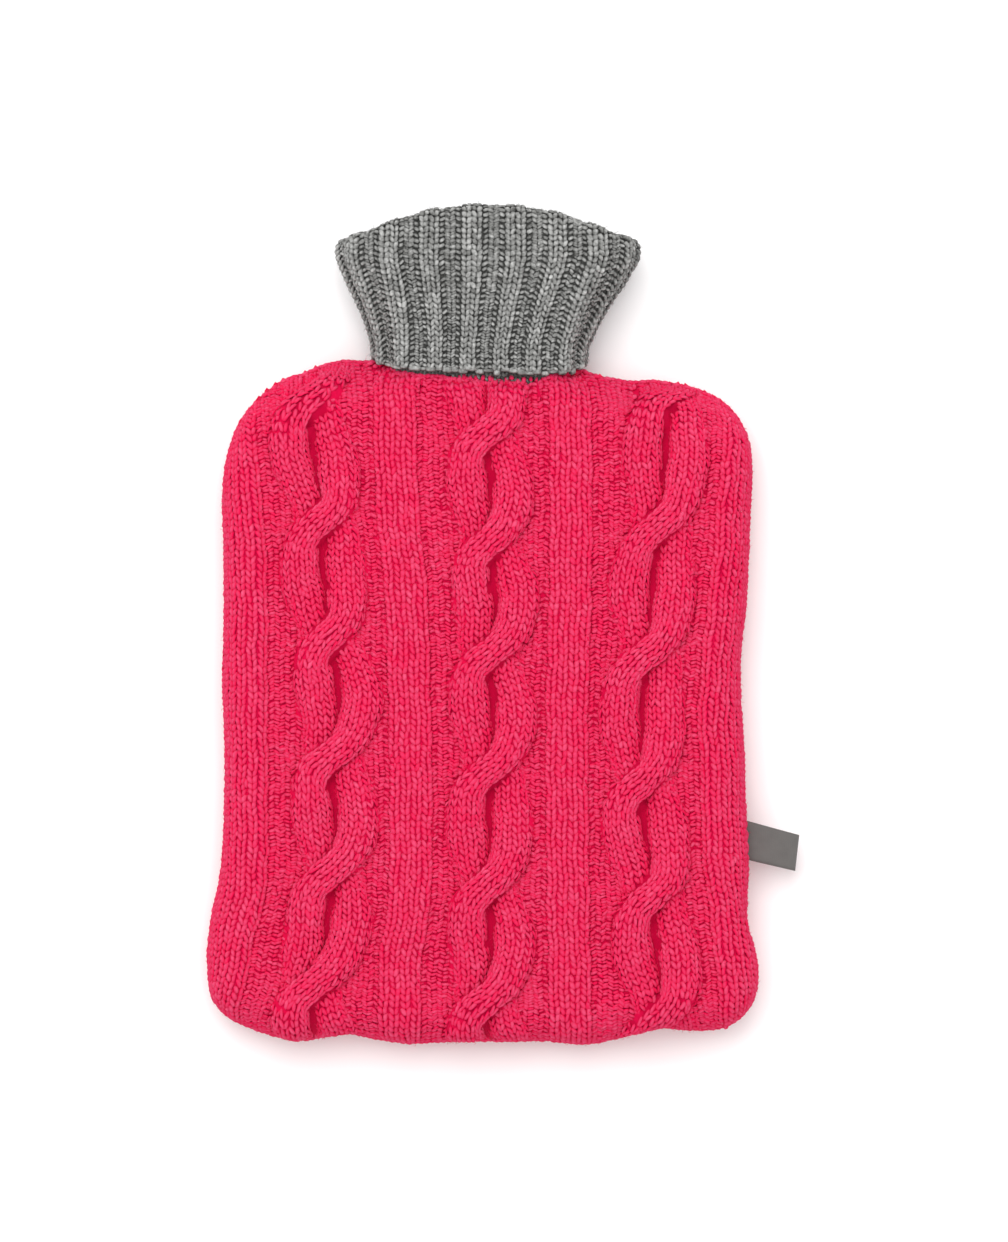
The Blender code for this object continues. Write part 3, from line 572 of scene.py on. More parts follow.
def knit(name, legs, wool, slot, sides, rings, plumpness, arch, underside):
    """Makes one piece from half stitches: a point for each, and the yarn that the tree sets on it. The faces
    of the yarn that lie below underside are left out."""
    legs["place"][:, 2] = np.maximum(legs["place"][:, 2], PRESSED * legs["size"][:, 1])
    points = point_cloud(name, legs)
    nodes = points.modifiers.new("stitches", "NODES")
    nodes.node_group = STITCH_TREE
    values = dict(zip(YARN_INPUTS, (sides, rings, plumpness, arch, underside, wool)))
    for item in STITCH_TREE.interface.items_tree:
        if item.in_out == "INPUT" and item.name in values:
            nodes[item.identifier] = values[item.name]
    mesh = bpy.data.meshes.new_from_object(points.evaluated_get(bpy.context.evaluated_depsgraph_get()))
    cloud = points.data
    bpy.data.objects.remove(points)
    bpy.data.meshes.remove(cloud)
    for spare in CARRIED:
        if spare in mesh.attributes:
            mesh.attributes.remove(mesh.attributes[spare])
    mesh.name = name
    piece = bpy.data.objects.new(name, mesh)
    bpy.context.scene.collection.objects.link(piece)
    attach(piece, "root")
    mesh.calc_loop_triangles()
    print(f"{name}: {len(legs['tone'])} half stitches, {len(mesh.loop_triangles)} triangles")
    pieces[name], placed[name] = piece, legs


# %% [markdown]
# ## Half stitches from a drawn stitch
#
# Every kind of knitting below gives the same facts: where each stitch's middle lies, a spot a little
# further up its column and a spot a little to its right. From these three the directions on the surface
# follow. A knit stitch is then two legs that slant like a V, and a purl stitch two short bumps that lie
# across like a low arch.

# %% Turning stitches into legs
PEEK = 0.4  # how far the spots ahead and aside lie from the middle of a stitch
CHANCE = np.random.default_rng(11)
ANGLE_CHANCE, PLACE_CHANCE, SIZE_CHANCE = 3.0, 0.07, 0.05  # degrees, mm and share, at an unevenness of 1
LONE_PLACE_CHANCE, LONE_SIZE_CHANCE = 0.08, 0.06  # of a leg that lies by itself


def frames(middle, ahead, aside):
    """Unit directions up the column, to the right and out of the surface."""
    up = ahead - middle
    up /= np.linalg.norm(up, axis=1)[:, None]
    out = np.cross(aside - middle, up)
    out /= np.maximum(np.linalg.norm(out, axis=1), TINY)[:, None]
    return up, np.cross(up, out), out


def legs_of(stitches, tilt_left, tilt_right, pitch_in, spread, unevenness):
    """Two legs for each stitch. The tilts are in degrees from the column, pitch_in is how much the far end
    dives, and spread is each leg's distance from the middle, in stitch widths."""
    up, right, out = frames(stitches["middle"], stitches["ahead"], stitches["aside"])
    count = len(up)
    parts = []
    for side, tilt in ((-1.0, -tilt_left), (1.0, tilt_right)):
        turned = tilt * stitches["slant"] + CHANCE.normal(0.0, ANGLE_CHANCE * unevenness, count)
        angle = np.radians(turned)[:, None]
        heading = up * np.cos(angle) + right * np.sin(angle) - out * pitch_in
        place = stitches["middle"] + right * (side * spread * stitches["width"])[:, None]
        place = place + CHANCE.normal(0.0, PLACE_CHANCE * unevenness, (count, 3))
        size = stitches["leg"] * (1.0 + CHANCE.normal(0.0, SIZE_CHANCE * unevenness, (count, 3)))
        # the tone: a random one for each leg, plus the painted shade or painted light passed in as shade
        parts.append({"place": place, "heading": heading, "facing": out + heading * pitch_in, "size": size,
                      "tone": stitches["shade"] + CHANCE.normal(0.0, 1.0, count)})
    return {name: np.concatenate([part[name] for part in parts]) for name in parts[0]}


def single(stitches, pitch_in, unevenness):
    """One leg for each stitch, along its column."""
    up, right, out = frames(stitches["middle"], stitches["ahead"], stitches["aside"])
    count = len(up)
    size = stitches["leg"] * (1.0 + CHANCE.normal(0.0, LONE_SIZE_CHANCE * unevenness, (count, 3)))
    return {"place": stitches["middle"] + CHANCE.normal(0.0, LONE_PLACE_CHANCE * unevenness, (count, 3)),
            "heading": up - out * pitch_in, "facing": out + up * pitch_in, "size": size,
            "tone": CHANCE.normal(0.0, 1.0, count)}


def joined(*several):
    """Sets of stitches or legs as one."""
    return {name: np.concatenate([part[name] for part in several]) for name in several[0]}


print("a leg strays by about", ANGLE_CHANCE, "degrees and", PLACE_CHANCE, "mm")

# %% [markdown]
# ## The flat knitting of the front
#
# The margins and the two flat columns are plain stockinette: columns of V's, 4.5 mm wide and 2.7 mm from
# row to row. The columns of a margin run along its inner edge and go on round the side of the cover to
# the seam.

# %% Columns of plain knitting
ROW = 2.67  # from one row of the body to the next
WALE = 4.5  # width of a stitch of the body
FOOT, TOP = -150.0, 153.0  # of the drawing
SEAM_CLEAR = 0.6  # how close to the seam the middle of a stitch comes
NECK_CLEAR = 0.4  # how close to the neck it comes
HALF_UP = 0.5  # from here on up the rounded edge, the neck's join dips and wavers
JOIN_DIPS = (
    # x, how far the join lies below the neck
    (-60.0, 0.5), (-42.0, 0.8), (-36.0, 1.4), (-30.0, -1.2), (-20.0, -0.6), (-4.0, 0.6), (5.0, 2.0),
    (19.0, 1.6), (28.0, -1.0), (36.0, -2.0), (60.0, 0.0),
)
JOIN_WAVER, JOIN_WAVE = 0.35, 2.4
STITCH_LIFT = -0.55  # of the yarn's middle against the cover's outer face
BACK_HEIGHT = -0.8  # of the back, which presses its stitches flat against the table
WAVES = (
    # sideways, then up: millimetres, the turn in radians for each millimetre of x and y, and its start
    ((0.28, 0.13, 0.21, 0.0), (0.2, -0.31, 0.47, 1.0)),
    ((0.3, 0.19, -0.11, 2.0), (0.22, 0.53, 0.17, 0.0)),
)


def wandering(x, y):
    """How far hand-guided knitting strays from its straight lines, sideways and up."""
    return np.column_stack([
        sum(size * np.sin(by_x * x + by_y * y + start) for size, by_x, by_y, start in waves)
        for waves in WAVES
    ])


def join_dip(x):
    """How far below the neck the pink ends and the grey starts: the join dips here and there, and wavers."""
    return np.interp(x, *np.transpose(JOIN_DIPS)) + JOIN_WAVER * np.sin(x / JOIN_WAVE)


def clear_of_neck(place, reach):
    """Whether stitches end below the neck, where the collar starts."""
    up = np.sin(np.clip(reach / EDGE_ROUND, 0.0, math.pi / 2))
    room = NECK_TOP - NECK_DIP * up - NECK_SLOPE * place[:, 0] - place[:, 1]
    return room > NECK_CLEAR + np.where(up > HALF_UP, join_dip(place[:, 0]), 0.0)


def panel_stitches(x, y, width, leg, is_front, lean=None, shade=0.0):
    """Stitches at places of the drawing, less those that fall off the panel. leg is the yarn's half size."""
    drawing = np.column_stack([x, y]) + wandering(x, y)
    step_up = np.column_stack([np.zeros(len(x)) if lean is None else lean, np.ones(len(x))])
    step_up /= np.linalg.norm(step_up, axis=1)[:, None]
    step_right = np.column_stack([step_up[:, 1], -step_up[:, 0]])
    spots = {}
    for name, step in (("middle", 0.0), ("ahead", step_up), ("aside", step_right)):
        spot = drawing + step * PEEK
        height = front_relief(*spot.T) if is_front else np.full(len(x), BACK_HEIGHT)
        spots[name], reach = place_on(spot, height, STITCH_LIFT, is_front)
        if name == "middle":
            on_panel = (reach > SEAM_CLEAR) & clear_of_neck(spots[name], reach)
    made = {name: spot[on_panel] for name, spot in spots.items()}
    made["width"] = np.broadcast_to(width, len(x))[on_panel]
    made["leg"] = np.broadcast_to(leg, (len(x), 3))[on_panel]
    made["slant"], made["shade"] = np.ones(len(made["leg"])), np.full(len(made["leg"]), shade)
    return made


def wale(line, offset, width, leg, is_front=True):
    """One column of stitches that keeps its distance from a line."""
    y = np.arange(FOOT, TOP, ROW)
    slope = (along(line, y + 1.0) - along(line, y - 1.0)) / 2.0
    return panel_stitches(along(line, y) + offset, y, width, leg, is_front, lean=slope)


# %% Knit the flat columns and the margins
BODY_LEG = np.array([0.98, 0.95, 2.1])  # half width, half thickness and half length of one leg's yarn
FLAT_WALES = (-1.5, -0.5, 0.5, 1.5)  # of a flat column, counted from its middle
MARGIN_WALES = 9
KNIT_LEGS = {"tilt_left": 26.0, "tilt_right": 12.0, "pitch_in": 0.18, "spread": 0.25, "unevenness": 1.6}
YARN = {"sides": 6, "rings": 4, "plumpness": 0.5, "arch": 0.8, "underside": -0.1}

flat_stitches = [
    wale(line, number * WALE, WALE, BODY_LEG) for line in FLAT_COLUMNS.values() for number in FLAT_WALES
]
left_stitches = [wale(LEFT_MARGIN, -(k + 0.5) * WALE, WALE, BODY_LEG) for k in range(MARGIN_WALES)]
right_stitches = [wale(RIGHT_MARGIN, (k + 0.5) * WALE, WALE, BODY_LEG) for k in range(MARGIN_WALES)]
for name, made in (("flat_column_stitches", flat_stitches), ("left_margin_stitches", left_stitches),
                   ("right_margin_stitches", right_stitches)):
    knit(name, legs_of(joined(*made), **KNIT_LEGS), PINK_WOOL, "pink_knit", **YARN)

# %% [markdown]
# ## The cables
#
# Each strand is a band of six stitches. Its columns follow the strand's S, so their V's lean with it, and
# they are drawn narrower where the strand is pulled tight over the crossing. Stitches that another strand
# covers are left out.

# %% Stitches of the strands
STRAND_ROW = 2.75
STRAND_WALES = (-2.5, -1.5, -0.5, 0.5, 1.5, 2.5)  # the columns, counted from the middle of a strand
WALE_ANGLE, ANGLE_POWER = 0.5, 0.63  # of one column on the round back, and its growth as that narrows
LAST_ANGLE = 1.4  # from the top; columns past it have rolled under the strand
WIDTH_POWER = 0.7  # how the yarn thins where the stitches are narrow
ROW_STRETCH = 0.22  # how much longer the rows are where the strand is drawn tight
PARALLEL = 0.45  # how much of their slant the legs lose there
DEEP_SHADE, LIT_HEIGHT = -3.0, 2.6  # the tone darkens towards a strand's foot, where light hardly reaches
DEEPEST = 2.0
HIDDEN = 0.5  # a stitch this far under the surface doesn't show
DENSE = 400
STRAND_SPOTS = (
    # name, how far it lies up the strand, and how far round its back in radians
    ("ahead", PEEK, 0.0), ("aside", 0.0, 0.04), ("middle", 0.0, 0.0),
)


def strand_path(crossing, middles, line):
    """A strand's middle line: the way along it, what changes along it, and where its rows lie."""
    turn = np.linspace(-STRAND_REACH, STRAND_REACH, DENSE)
    turn = turn[(crossing + turn > 0.0) & (crossing + turn < len(middles) - 1.0)]
    y = np.interp(crossing + turn, np.arange(len(middles)), middles[:, 1])
    path = np.column_stack([along(line, y) + strand_middle(turn), y])
    travelled = np.concatenate([[0.0], np.cumsum(np.linalg.norm(np.diff(path, axis=0), axis=1))])
    way = np.gradient(path, axis=0)
    way /= np.linalg.norm(way, axis=1)[:, None]
    stretch = 1.0 + ROW_STRETCH * tightness(turn)
    counted = np.concatenate([[0.0], np.cumsum(np.diff(travelled) / (STRAND_ROW * stretch[1:]))])
    rows = np.interp(np.arange(0.5, counted[-1]), counted, travelled)
    return travelled, np.column_stack([turn, path, way]), rows


def on_strand(number, shift, at, travelled, changing):
    """Spots of one column on a strand: place in the drawing, turn, angle round the back, and its step."""
    turn, x, y, way_x, way_y = (np.interp(at, travelled, column) for column in changing.T)
    one = WALE_ANGLE * (STRAND_HALF_WIDTH / strand_half(turn)) ** ANGLE_POWER
    angle = np.clip(number * one, -LAST_ANGLE, LAST_ANGLE) + shift
    off = np.sin(angle) * strand_half(turn)
    drawing = np.column_stack([x + way_y * off, y - way_x * off])
    return drawing + wandering(*drawing.T), turn, angle, one


def strand_stitches(crossings):
    """All the visible stitches of one cable."""
    middles, line, _ = with_ends(crossings)
    found = []
    for crossing in range(len(middles)):
        travelled, changing, rows = strand_path(crossing, middles, line)
        for number in STRAND_WALES:
            spots = {}
            for name, step, shift in STRAND_SPOTS:
                drawing, turn, angle, one = on_strand(number, shift, rows + step, travelled, changing)
                height = strand_height(turn, np.sin(angle))
                spots[name], reach = place_on(drawing, height, STITCH_LIFT, True)
            shows = (height > front_relief(*drawing.T) - HIDDEN) & (reach > SEAM_CLEAR)
            shows &= clear_of_neck(spots["middle"], reach) & (np.abs(angle) < LAST_ANGLE)
            tight = tightness(turn)
            width = one * np.hypot(np.cos(angle) * strand_half(turn), STRAND_BULGE * np.sin(angle))
            thin = (width / WALE) ** WIDTH_POWER
            made = {
                **spots, "width": width, "slant": 1.0 - PARALLEL * tight,
                "shade": DEEP_SHADE * np.clip((LIT_HEIGHT - height) / LIT_HEIGHT, 0.0, DEEPEST),
                "leg": BODY_LEG * np.column_stack([thin, thin, 1.0 + ROW_STRETCH * tight]),
            }
            found.append({name: values[shows] for name, values in made.items()})
    return joined(*found)


for side, crossings in CABLE_CROSSINGS.items():
    name = f"{side}_cable_stitches"
    knit(name, legs_of(strand_stitches(crossings), **KNIT_LEGS), PINK_WOOL, "pink_knit", **YARN)

# %% [markdown]
# ## The gutters
#
# Between the cables and the flat knitting the fabric turns its purl side up. Each row shows there as a
# wavy ridge that lies across the gutter. Where a cable's crossing pulls the fabric in, the rows crowd
# together and fan out from it.

# %% Purl rows in the gutters
PURL_WALE = 4.4
PURL_LEG = np.array([0.78, 0.8, 1.6])
PURL_TILT = 66.0
PURL_YARN = {"sides": 6, "rings": 4, "plumpness": 0.4, "arch": 0.2, "underside": -0.1}
GUTTER_WALES = 4
PINCH_UP = 4.5  # from a crossing up to the middle of the fan on its right, and down to that on its left
PINCH_REACH, PINCH_SHARE = 15.0, 0.62
COVERED = 1.3  # purl stitches go on under the edge of a strand up to this height


def gutter_stitches(line, sign, crossings, side, shift, leg, shade):
    """Purl columns from the edge of flat knitting towards a cable, as far as the cable lets them show. shift
    moves them by parts of a stitch, sideways and up."""
    found = []
    for k in np.arange(GUTTER_WALES) - shift:
        places = []
        for off in (k, k + 0.5, k + 1.0):
            y = np.arange(FOOT, TOP, ROW) + shift * ROW
            x = along(line, y) + sign * off * PURL_WALE
            for _, crossing_y, _ in crossings:
                centre = crossing_y + side * PINCH_UP
                pull = PINCH_SHARE * off / GUTTER_WALES * np.exp(-(((y - centre) / PINCH_REACH) ** 2))
                y = y - (y - centre) * pull
            places.append((x, y))
        (start_x, start_y), (x, y), (end_x, end_y) = places
        shows = cable_height(x, y, crossings)[0] < COVERED
        lean = ((start_y - end_y) / (end_x - start_x))[shows]
        found.append(panel_stitches(x[shows], y[shows], PURL_WALE, leg, True, lean=lean, shade=shade))
    return found


def edge_of(line, offset):
    """A line moved sideways."""
    return [(x + offset, y) for x, y in line]


GUTTERS = (
    # flat edge, direction to the cable, cable, side of the cable (-1 left of it, 1 right of it)
    (LEFT_MARGIN, 1.0, "left", -1.0),
    (edge_of(FLAT_COLUMNS["left"], -FLAT_HALF_WIDTH), -1.0, "left", 1.0),
    (edge_of(FLAT_COLUMNS["left"], FLAT_HALF_WIDTH), 1.0, "middle", -1.0),
    (edge_of(FLAT_COLUMNS["right"], -FLAT_HALF_WIDTH), -1.0, "middle", 1.0),
    (edge_of(FLAT_COLUMNS["right"], FLAT_HALF_WIDTH), 1.0, "right", -1.0),
    (RIGHT_MARGIN, -1.0, "right", 1.0),
)
# the second set, the feet, lies half a row on and gets painted shade
for name, shift, tilt, thickness, shade in (("gutter_stitches", 0.0, -PURL_TILT, 1.0, 0.0),
                                            ("gutter_feet", 0.5, PURL_TILT, 0.85, -1.5)):
    gutters = []
    for line, sign, cable, side in GUTTERS:
        crossings = CABLE_CROSSINGS[cable]
        gutters += gutter_stitches(line, sign, crossings, side, shift, PURL_LEG * thickness, shade)
    legs = legs_of(joined(*gutters), tilt, tilt, pitch_in=0.05, spread=0.25, unevenness=2.4)
    knit(name, legs, PINK_WOOL, "pink_knit", **PURL_YARN)

# %% [markdown]
# ## The sheets under the stitches
#
# The stitches touch but leave pinholes, so each panel gets a thin sheet just under them. Its grid is
# spread between the four sides of the panel and then turned down round the edge in rings, so it ends
# cleanly at the seam.

# %% The grid of a panel
NOT_ON_RIM = -1.0  # the station of a point that doesn't lie on the seam
NECK_CROWDING = 1.9  # how the grid's lines gather towards the neck
FRONT_GRID = {
    "columns": 112, "rows": 132, "shoulder": 38, "rings": (78.0, 66.0, 54.0, 42.0, 30.0, 20.0, 10.0, 0.0),
}
BACK_GRID = {"columns": 44, "rows": 52, "shoulder": 16, "rings": (72.0, 54.0, 36.0, 18.0, 0.0)}


def station_of(x, y):
    """The station on the seam nearest to a point."""
    return float(np.argmin(np.hypot(OUTLINE[:, 0] - x, OUTLINE[:, 1] - y)) / (OUTLINE_STEPS - 1))


def rim_stations(grid):
    """Stations on the seam for the four sides of a grid, and the straight run across the neck."""
    left_shoulder, left_foot, right_foot, right_shoulder = (station_of(x, y) for x, y in GRID_CORNERS)
    columns, rows, shoulder = grid["columns"], grid["rows"], grid["shoulder"]
    from_neck = np.linspace(0.0, 1.0, shoulder + 1) ** NECK_CROWDING
    neck = np.full(columns - 2 * shoulder - 1, NOT_ON_RIM)
    to_neck = 1.0 - (1.0 - right_shoulder) * from_neck
    return {
        "left": np.linspace(left_foot, left_shoulder, rows + 1),
        "right": np.linspace(right_foot, right_shoulder, rows + 1),
        "bottom": np.linspace(left_foot, right_foot, columns + 1),
        "top": np.concatenate([left_shoulder * from_neck[::-1], neck, to_neck]),
    }


def side_points(stations, inset):
    """Points of one side of the grid, with the neck's run filled in straight."""
    known = stations > NOT_ON_RIM
    points = np.zeros((len(stations), 2))
    points[known] = on_outline(stations[known], inset)[0]
    index = np.arange(len(stations))
    for axis in (0, 1):
        points[:, axis] = np.interp(index, index[known], points[known, axis])
    return points


def patch(grid, inset):
    """The flat middle of a panel, spread between its four sides (a Coons patch)."""
    sides = {name: side_points(stations, inset) for name, stations in rim_stations(grid).items()}
    u = np.linspace(0.0, 1.0, grid["columns"] + 1)[None, :, None]
    v = np.linspace(0.0, 1.0, grid["rows"] + 1)[:, None, None]
    left, right = sides["left"][:, None, :], sides["right"][:, None, :]
    bottom, top = sides["bottom"][None, :, :], sides["top"][None, :, :]
    corners = (
        (1 - u) * (1 - v) * left[:1] + u * (1 - v) * right[:1] + (1 - u) * v * left[-1:] + u * v * right[-1:]
    )
    return (1 - v) * bottom + v * top + (1 - u) * left + u * right - corners


for title, grid in (("front", FRONT_GRID), ("back", BACK_GRID)):
    print(f"{title}: a grid of {grid['columns']} by {grid['rows']}, and {len(grid['rings'])} rings round it")

# %% Add a finished mesh to the scene
def add_piece(name, bm, finish):
    """Puts a finished mesh in the scene, smooth and with its faces outwards, riding on the cover."""
    bmesh.ops.recalc_face_normals(bm, faces=bm.faces)
    mesh = bpy.data.meshes.new(name)
    bm.to_mesh(mesh)
    bm.free()
    mesh.materials.append(finish)
    mesh.shade_smooth()
    piece = bpy.data.objects.new(name, mesh)
    bpy.context.scene.collection.objects.link(piece)
    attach(piece, "root")
    return piece


print("pieces so far:", ", ".join(pieces))

# %% The two sheets
SHEET_THICKNESS = 1.6
SHEET_SINK, RIM_SINK = 1.1, 0.7  # from the cover's outer face down to the sheet's, on top and at the seam
PAINTED_GAP_SHADE, PAINTED_SLOT_SHADE = -1.0, -9.0  # painted shade of the ground: between stitches, and in the dark slots of the cables
PAINTED_GUTTER_SHADE = -1.0  # how much more painted shade the ground gets in the gutters
SHEET_LAYERS = ("station", "turn", "tone")  # made before the points, which a new layer would lose


def spread_grid(bm, grid):
    """The points of a panel's sheet: a flat middle, then ring after ring down to the seam. Gives them in
    order, how many make up the middle, the stations of the others on the seam, and all their angles."""
    for name in SHEET_LAYERS:
        bm.verts.layers.float.new(name)
    station, turn = (bm.verts.layers.float[name] for name in ("station", "turn"))
    columns, rows = grid["columns"], grid["rows"]
    sides, flat = rim_stations(grid), patch(grid, EDGE_ROUND)
    verts = list(bmesh.ops.create_grid(bm, x_segments=columns, y_segments=rows, size=0.5)["verts"])
    for vert in verts:
        column, row = round((vert.co.x + 0.5) * columns), round((vert.co.y + 0.5) * rows)
        on_rim = {0: sides["left"][row], columns: sides["right"][row]}.get(column, NOT_ON_RIM)
        on_rim = {0: sides["bottom"][column], rows: sides["top"][column]}.get(row, on_rim)
        vert[station], vert[turn] = on_rim, 90.0
        vert.co = (*flat[row, column], 0.0)
    middle = len(verts)
    edges = [edge for edge in bm.edges if edge.is_boundary]
    rim = [edge for edge in edges if all(vert[station] > NOT_ON_RIM for vert in edge.verts)]
    for angle in grid["rings"]:
        made = bmesh.ops.extrude_edge_only(bm, edges=rim)["geom"]
        ring = {item for item in made if isinstance(item, bmesh.types.BMVert)}
        rim = [item for item in made if isinstance(item, bmesh.types.BMEdge) and ring.issuperset(item.verts)]
        for vert in ring:
            vert[turn] = angle
        verts.extend(ring)
    return verts, middle, [vert[station] for vert in verts[middle:]], [vert[turn] for vert in verts]


def thicken(bm):
    """Gives an open sheet its thickness inwards, and closes it round the rim."""
    bm.normal_update()
    outer = list(bm.verts)
    copy = bmesh.ops.duplicate(bm, geom=list(bm.verts) + list(bm.edges) + list(bm.faces))
    pairs = copy["vert_map"]
    for vert in outer:
        pairs[vert].co = vert.co - vert.normal * SHEET_THICKNESS * MM
    faces = [item for item in copy["geom"] if isinstance(item, bmesh.types.BMFace)]
    bmesh.ops.reverse_faces(bm, faces=faces)
    bmesh.ops.bridge_loops(bm, edges=[edge for edge in bm.edges if edge.is_boundary])


def in_order(bm):
    """Sorts the faces by their corners, because extruding makes them in another order on each run."""
    bm.verts.index_update()
    count = len(bm.verts)
    corners = {face: [vert.index for vert in face.verts] for face in bm.faces}
    bm.faces.sort(key=lambda face: min(corners[face]) * count + max(corners[face]))


def panel_sheet(name, grid, is_front):
    """The thin sheet of a panel, with the relief that its stitches follow."""
    bm = bmesh.new()
    verts, middle, stations, angles = spread_grid(bm, grid)
    tone = bm.verts.layers.float["tone"]
    angles = np.radians(angles)
    plan = np.array([vert.co[:2] for vert in verts])
    reach, inward = plan.copy(), np.zeros_like(plan)
    plan[middle:], inward[middle:] = on_outline(stations, EDGE_ROUND * (1.0 - np.cos(angles[middle:])))
    reach[middle:] = on_outline(stations, EDGE_ROUND * (1.0 - (math.pi / 2 - angles[middle:])))[0]
    bent = reach[:, 1] - NECK_DIP * np.sin(angles) * neck_share(reach[:, 1])
    height = front_relief(reach[:, 0], bent) if is_front else np.full(len(plan), BACK_HEIGHT)
    sink = RIM_SINK + (SHEET_SINK - RIM_SINK) * np.sin(angles)
    # painted shade on the ground: some between the stitches, more in the low gutters, most in the cables'
    # slots
    low = 1.0 - smoothstep(height / FLAT_HEIGHT) if is_front else 0.0
    shaded = PAINTED_GAP_SHADE + PAINTED_GUTTER_SHADE * low + (PAINTED_SLOT_SHADE - PAINTED_GAP_SHADE) * slot_share(reach[:, 0], bent)
    for vert, point, dark in zip(verts, lay(plan, angles, inward, height, -sink, is_front), shaded):
        vert.co = point * MM
        vert[tone] = dark
    bmesh.ops.recalc_face_normals(bm, faces=bm.faces)
    if (sum(face.normal.z for face in bm.faces) > 0) != is_front:
        bmesh.ops.reverse_faces(bm, faces=bm.faces)
    flat_area = sum(face.calc_area() for face in bm.faces)
    thicken(bm)
    in_order(bm)
    piece = add_piece(name, bm, PINK_WOOL)
    print(f"{name}: {flat_area * 1e4:.0f} square centimetres, {len(piece.data.polygons)} faces")
    return piece, flat_area


front_sheet, front_area = panel_sheet("front_ground", FRONT_GRID, True)
back_sheet, back_area = panel_sheet("back_ground", BACK_GRID, False)

# %% [markdown]
# ## No bare ground
#
# Where columns run together, as at the shoulders and beside the crossings, the rows drawn so far leave
# holes. Real fabric has none, so a leg goes on every spot of the front's ground that is too far from all
# the others. Only the dark slots in the cables stay bare.

# %% Legs on the bare spots
BARE = 1.75  # from a spot on the ground to the nearest leg, when there is none over it
APART = 1.7  # from one added leg to the next
LEAST_UP = 0.05  # how much a spot faces upwards, as its sine
FILL_LEG = np.array([0.95, 0.85, 1.6])


def bare_spots(sheet, taken):
    """Legs for the outer side of a sheet, wherever no leg is near."""
    tree = KDTree(len(taken))
    for number, place in enumerate(taken):
        tree.insert(place, number)
    tree.balance()
    dark = sheet.data.attributes["tone"].data
    found = []
    for vert in sheet.data.vertices:
        # the slots are found by their painted shade
        if vert.normal.z < LEAST_UP or dark[vert.index].value < PAINTED_SLOT_SHADE / 2:
            continue
        place = np.array(vert.co) / MM
        if tree.find(place)[2] > BARE and all(np.linalg.norm(place - other) > APART for other, _ in found):
            found.append((place, np.array(vert.normal)))
    place, out = (np.array(column) for column in zip(*found))
    right = np.cross((0.0, 1.0, 0.0), out)
    made = {"middle": place + out * (SHEET_SINK + STITCH_LIFT)}
    made["aside"] = made["middle"] + right / np.linalg.norm(right, axis=1)[:, None]
    made["ahead"] = made["middle"] + np.cross(out, right)
    made["leg"] = np.broadcast_to(FILL_LEG, (len(place), 3))
    return made


fillers = single(bare_spots(front_sheet, np.vstack([legs["place"] for legs in placed.values()])), 0.15, 3.0)
knit("filling_stitches", fillers, PINK_WOOL, "pink_knit", **YARN)

# %% Stitches of the plain back
BACK_LEG = np.array([1.25, 0.75, 2.3])
BACK_WALES = 57
BACK_YARN = {"sides": 4, "rings": 3, "plumpness": 0.5, "arch": 0.3, "underside": -0.1}
back_stitches = []
for number in range(BACK_WALES):
    y = np.arange(FOOT, TOP, ROW)
    x = np.full(len(y), (number - (BACK_WALES - 1) / 2) * WALE)
    back_stitches.append(panel_stitches(x, y, WALE, BACK_LEG, False))
knit("back_stitches", legs_of(joined(*back_stitches), **KNIT_LEGS), PINK_WOOL, "pink_knit", **BACK_YARN)

# %% What the sheets stand for
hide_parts("front_panel")
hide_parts("back_panel")
print(f"sheets: front {front_area:.4f} and back {back_area:.4f} square metres")

# %% [markdown]
# ## A chain along the side seam
#
# The two panels are joined edge to edge. The join pulls the last stitches of both into a plump little
# chain, which also gives the cover its smooth outline.

# %% Seam chain
CHAIN_STEP = 2.4
CHAIN_LEG = np.array([1.15, 1.0, 2.2])
CHAIN_INSET, CHAIN_BESIDE = 0.4, 0.55  # of the legs' middles from the seam line, inwards, and up or down
CHAIN_YARN = {**YARN, "underside": -1.0}


def seam_chain():
    """Legs that lie along the seam, one behind the other, above and below it in turn."""
    length = STEP * (OUTLINE_STEPS - 1)
    count = int(length / CHAIN_STEP)
    spots = {"leg": np.broadcast_to(CHAIN_LEG, (count, 3))}
    station = (np.arange(count) + 0.5) / count
    beside = np.where(np.arange(count) % 2, CHAIN_BESIDE, -CHAIN_BESIDE)
    for name, step, aside in (("middle", 0.0, 0.0), ("ahead", PEEK / length, 0.0), ("aside", 0.0, PEEK)):
        plan = on_outline(station + step, CHAIN_INSET - aside)[0]
        plan[:, 1] -= NECK_SLOPE * plan[:, 0] * neck_share(plan[:, 1])
        z = SEAM_HEIGHT + seam_opening(*plan.T) / 2 + beside - aside
        spots[name] = np.column_stack([plan, z])
    return spots


knit("seam_chain", single(seam_chain(), 0.1, 1.0), PINK_WOOL, "pink_knit", **CHAIN_YARN)

# %% [markdown]
# ## The collar
#
# The collar is knitted in 2 by 2 rib: two columns of V's stand out, and the two between them sink back
# and show their purl side. It goes up from the neck, turns over and comes down outside itself. Eighteen
# ribs go round it; they spread where the collar widens towards its fold. A place on it is given by its
# rib and by the way along the knitting, from the hem of the outer layer up over the fold and down into
# the mouth.

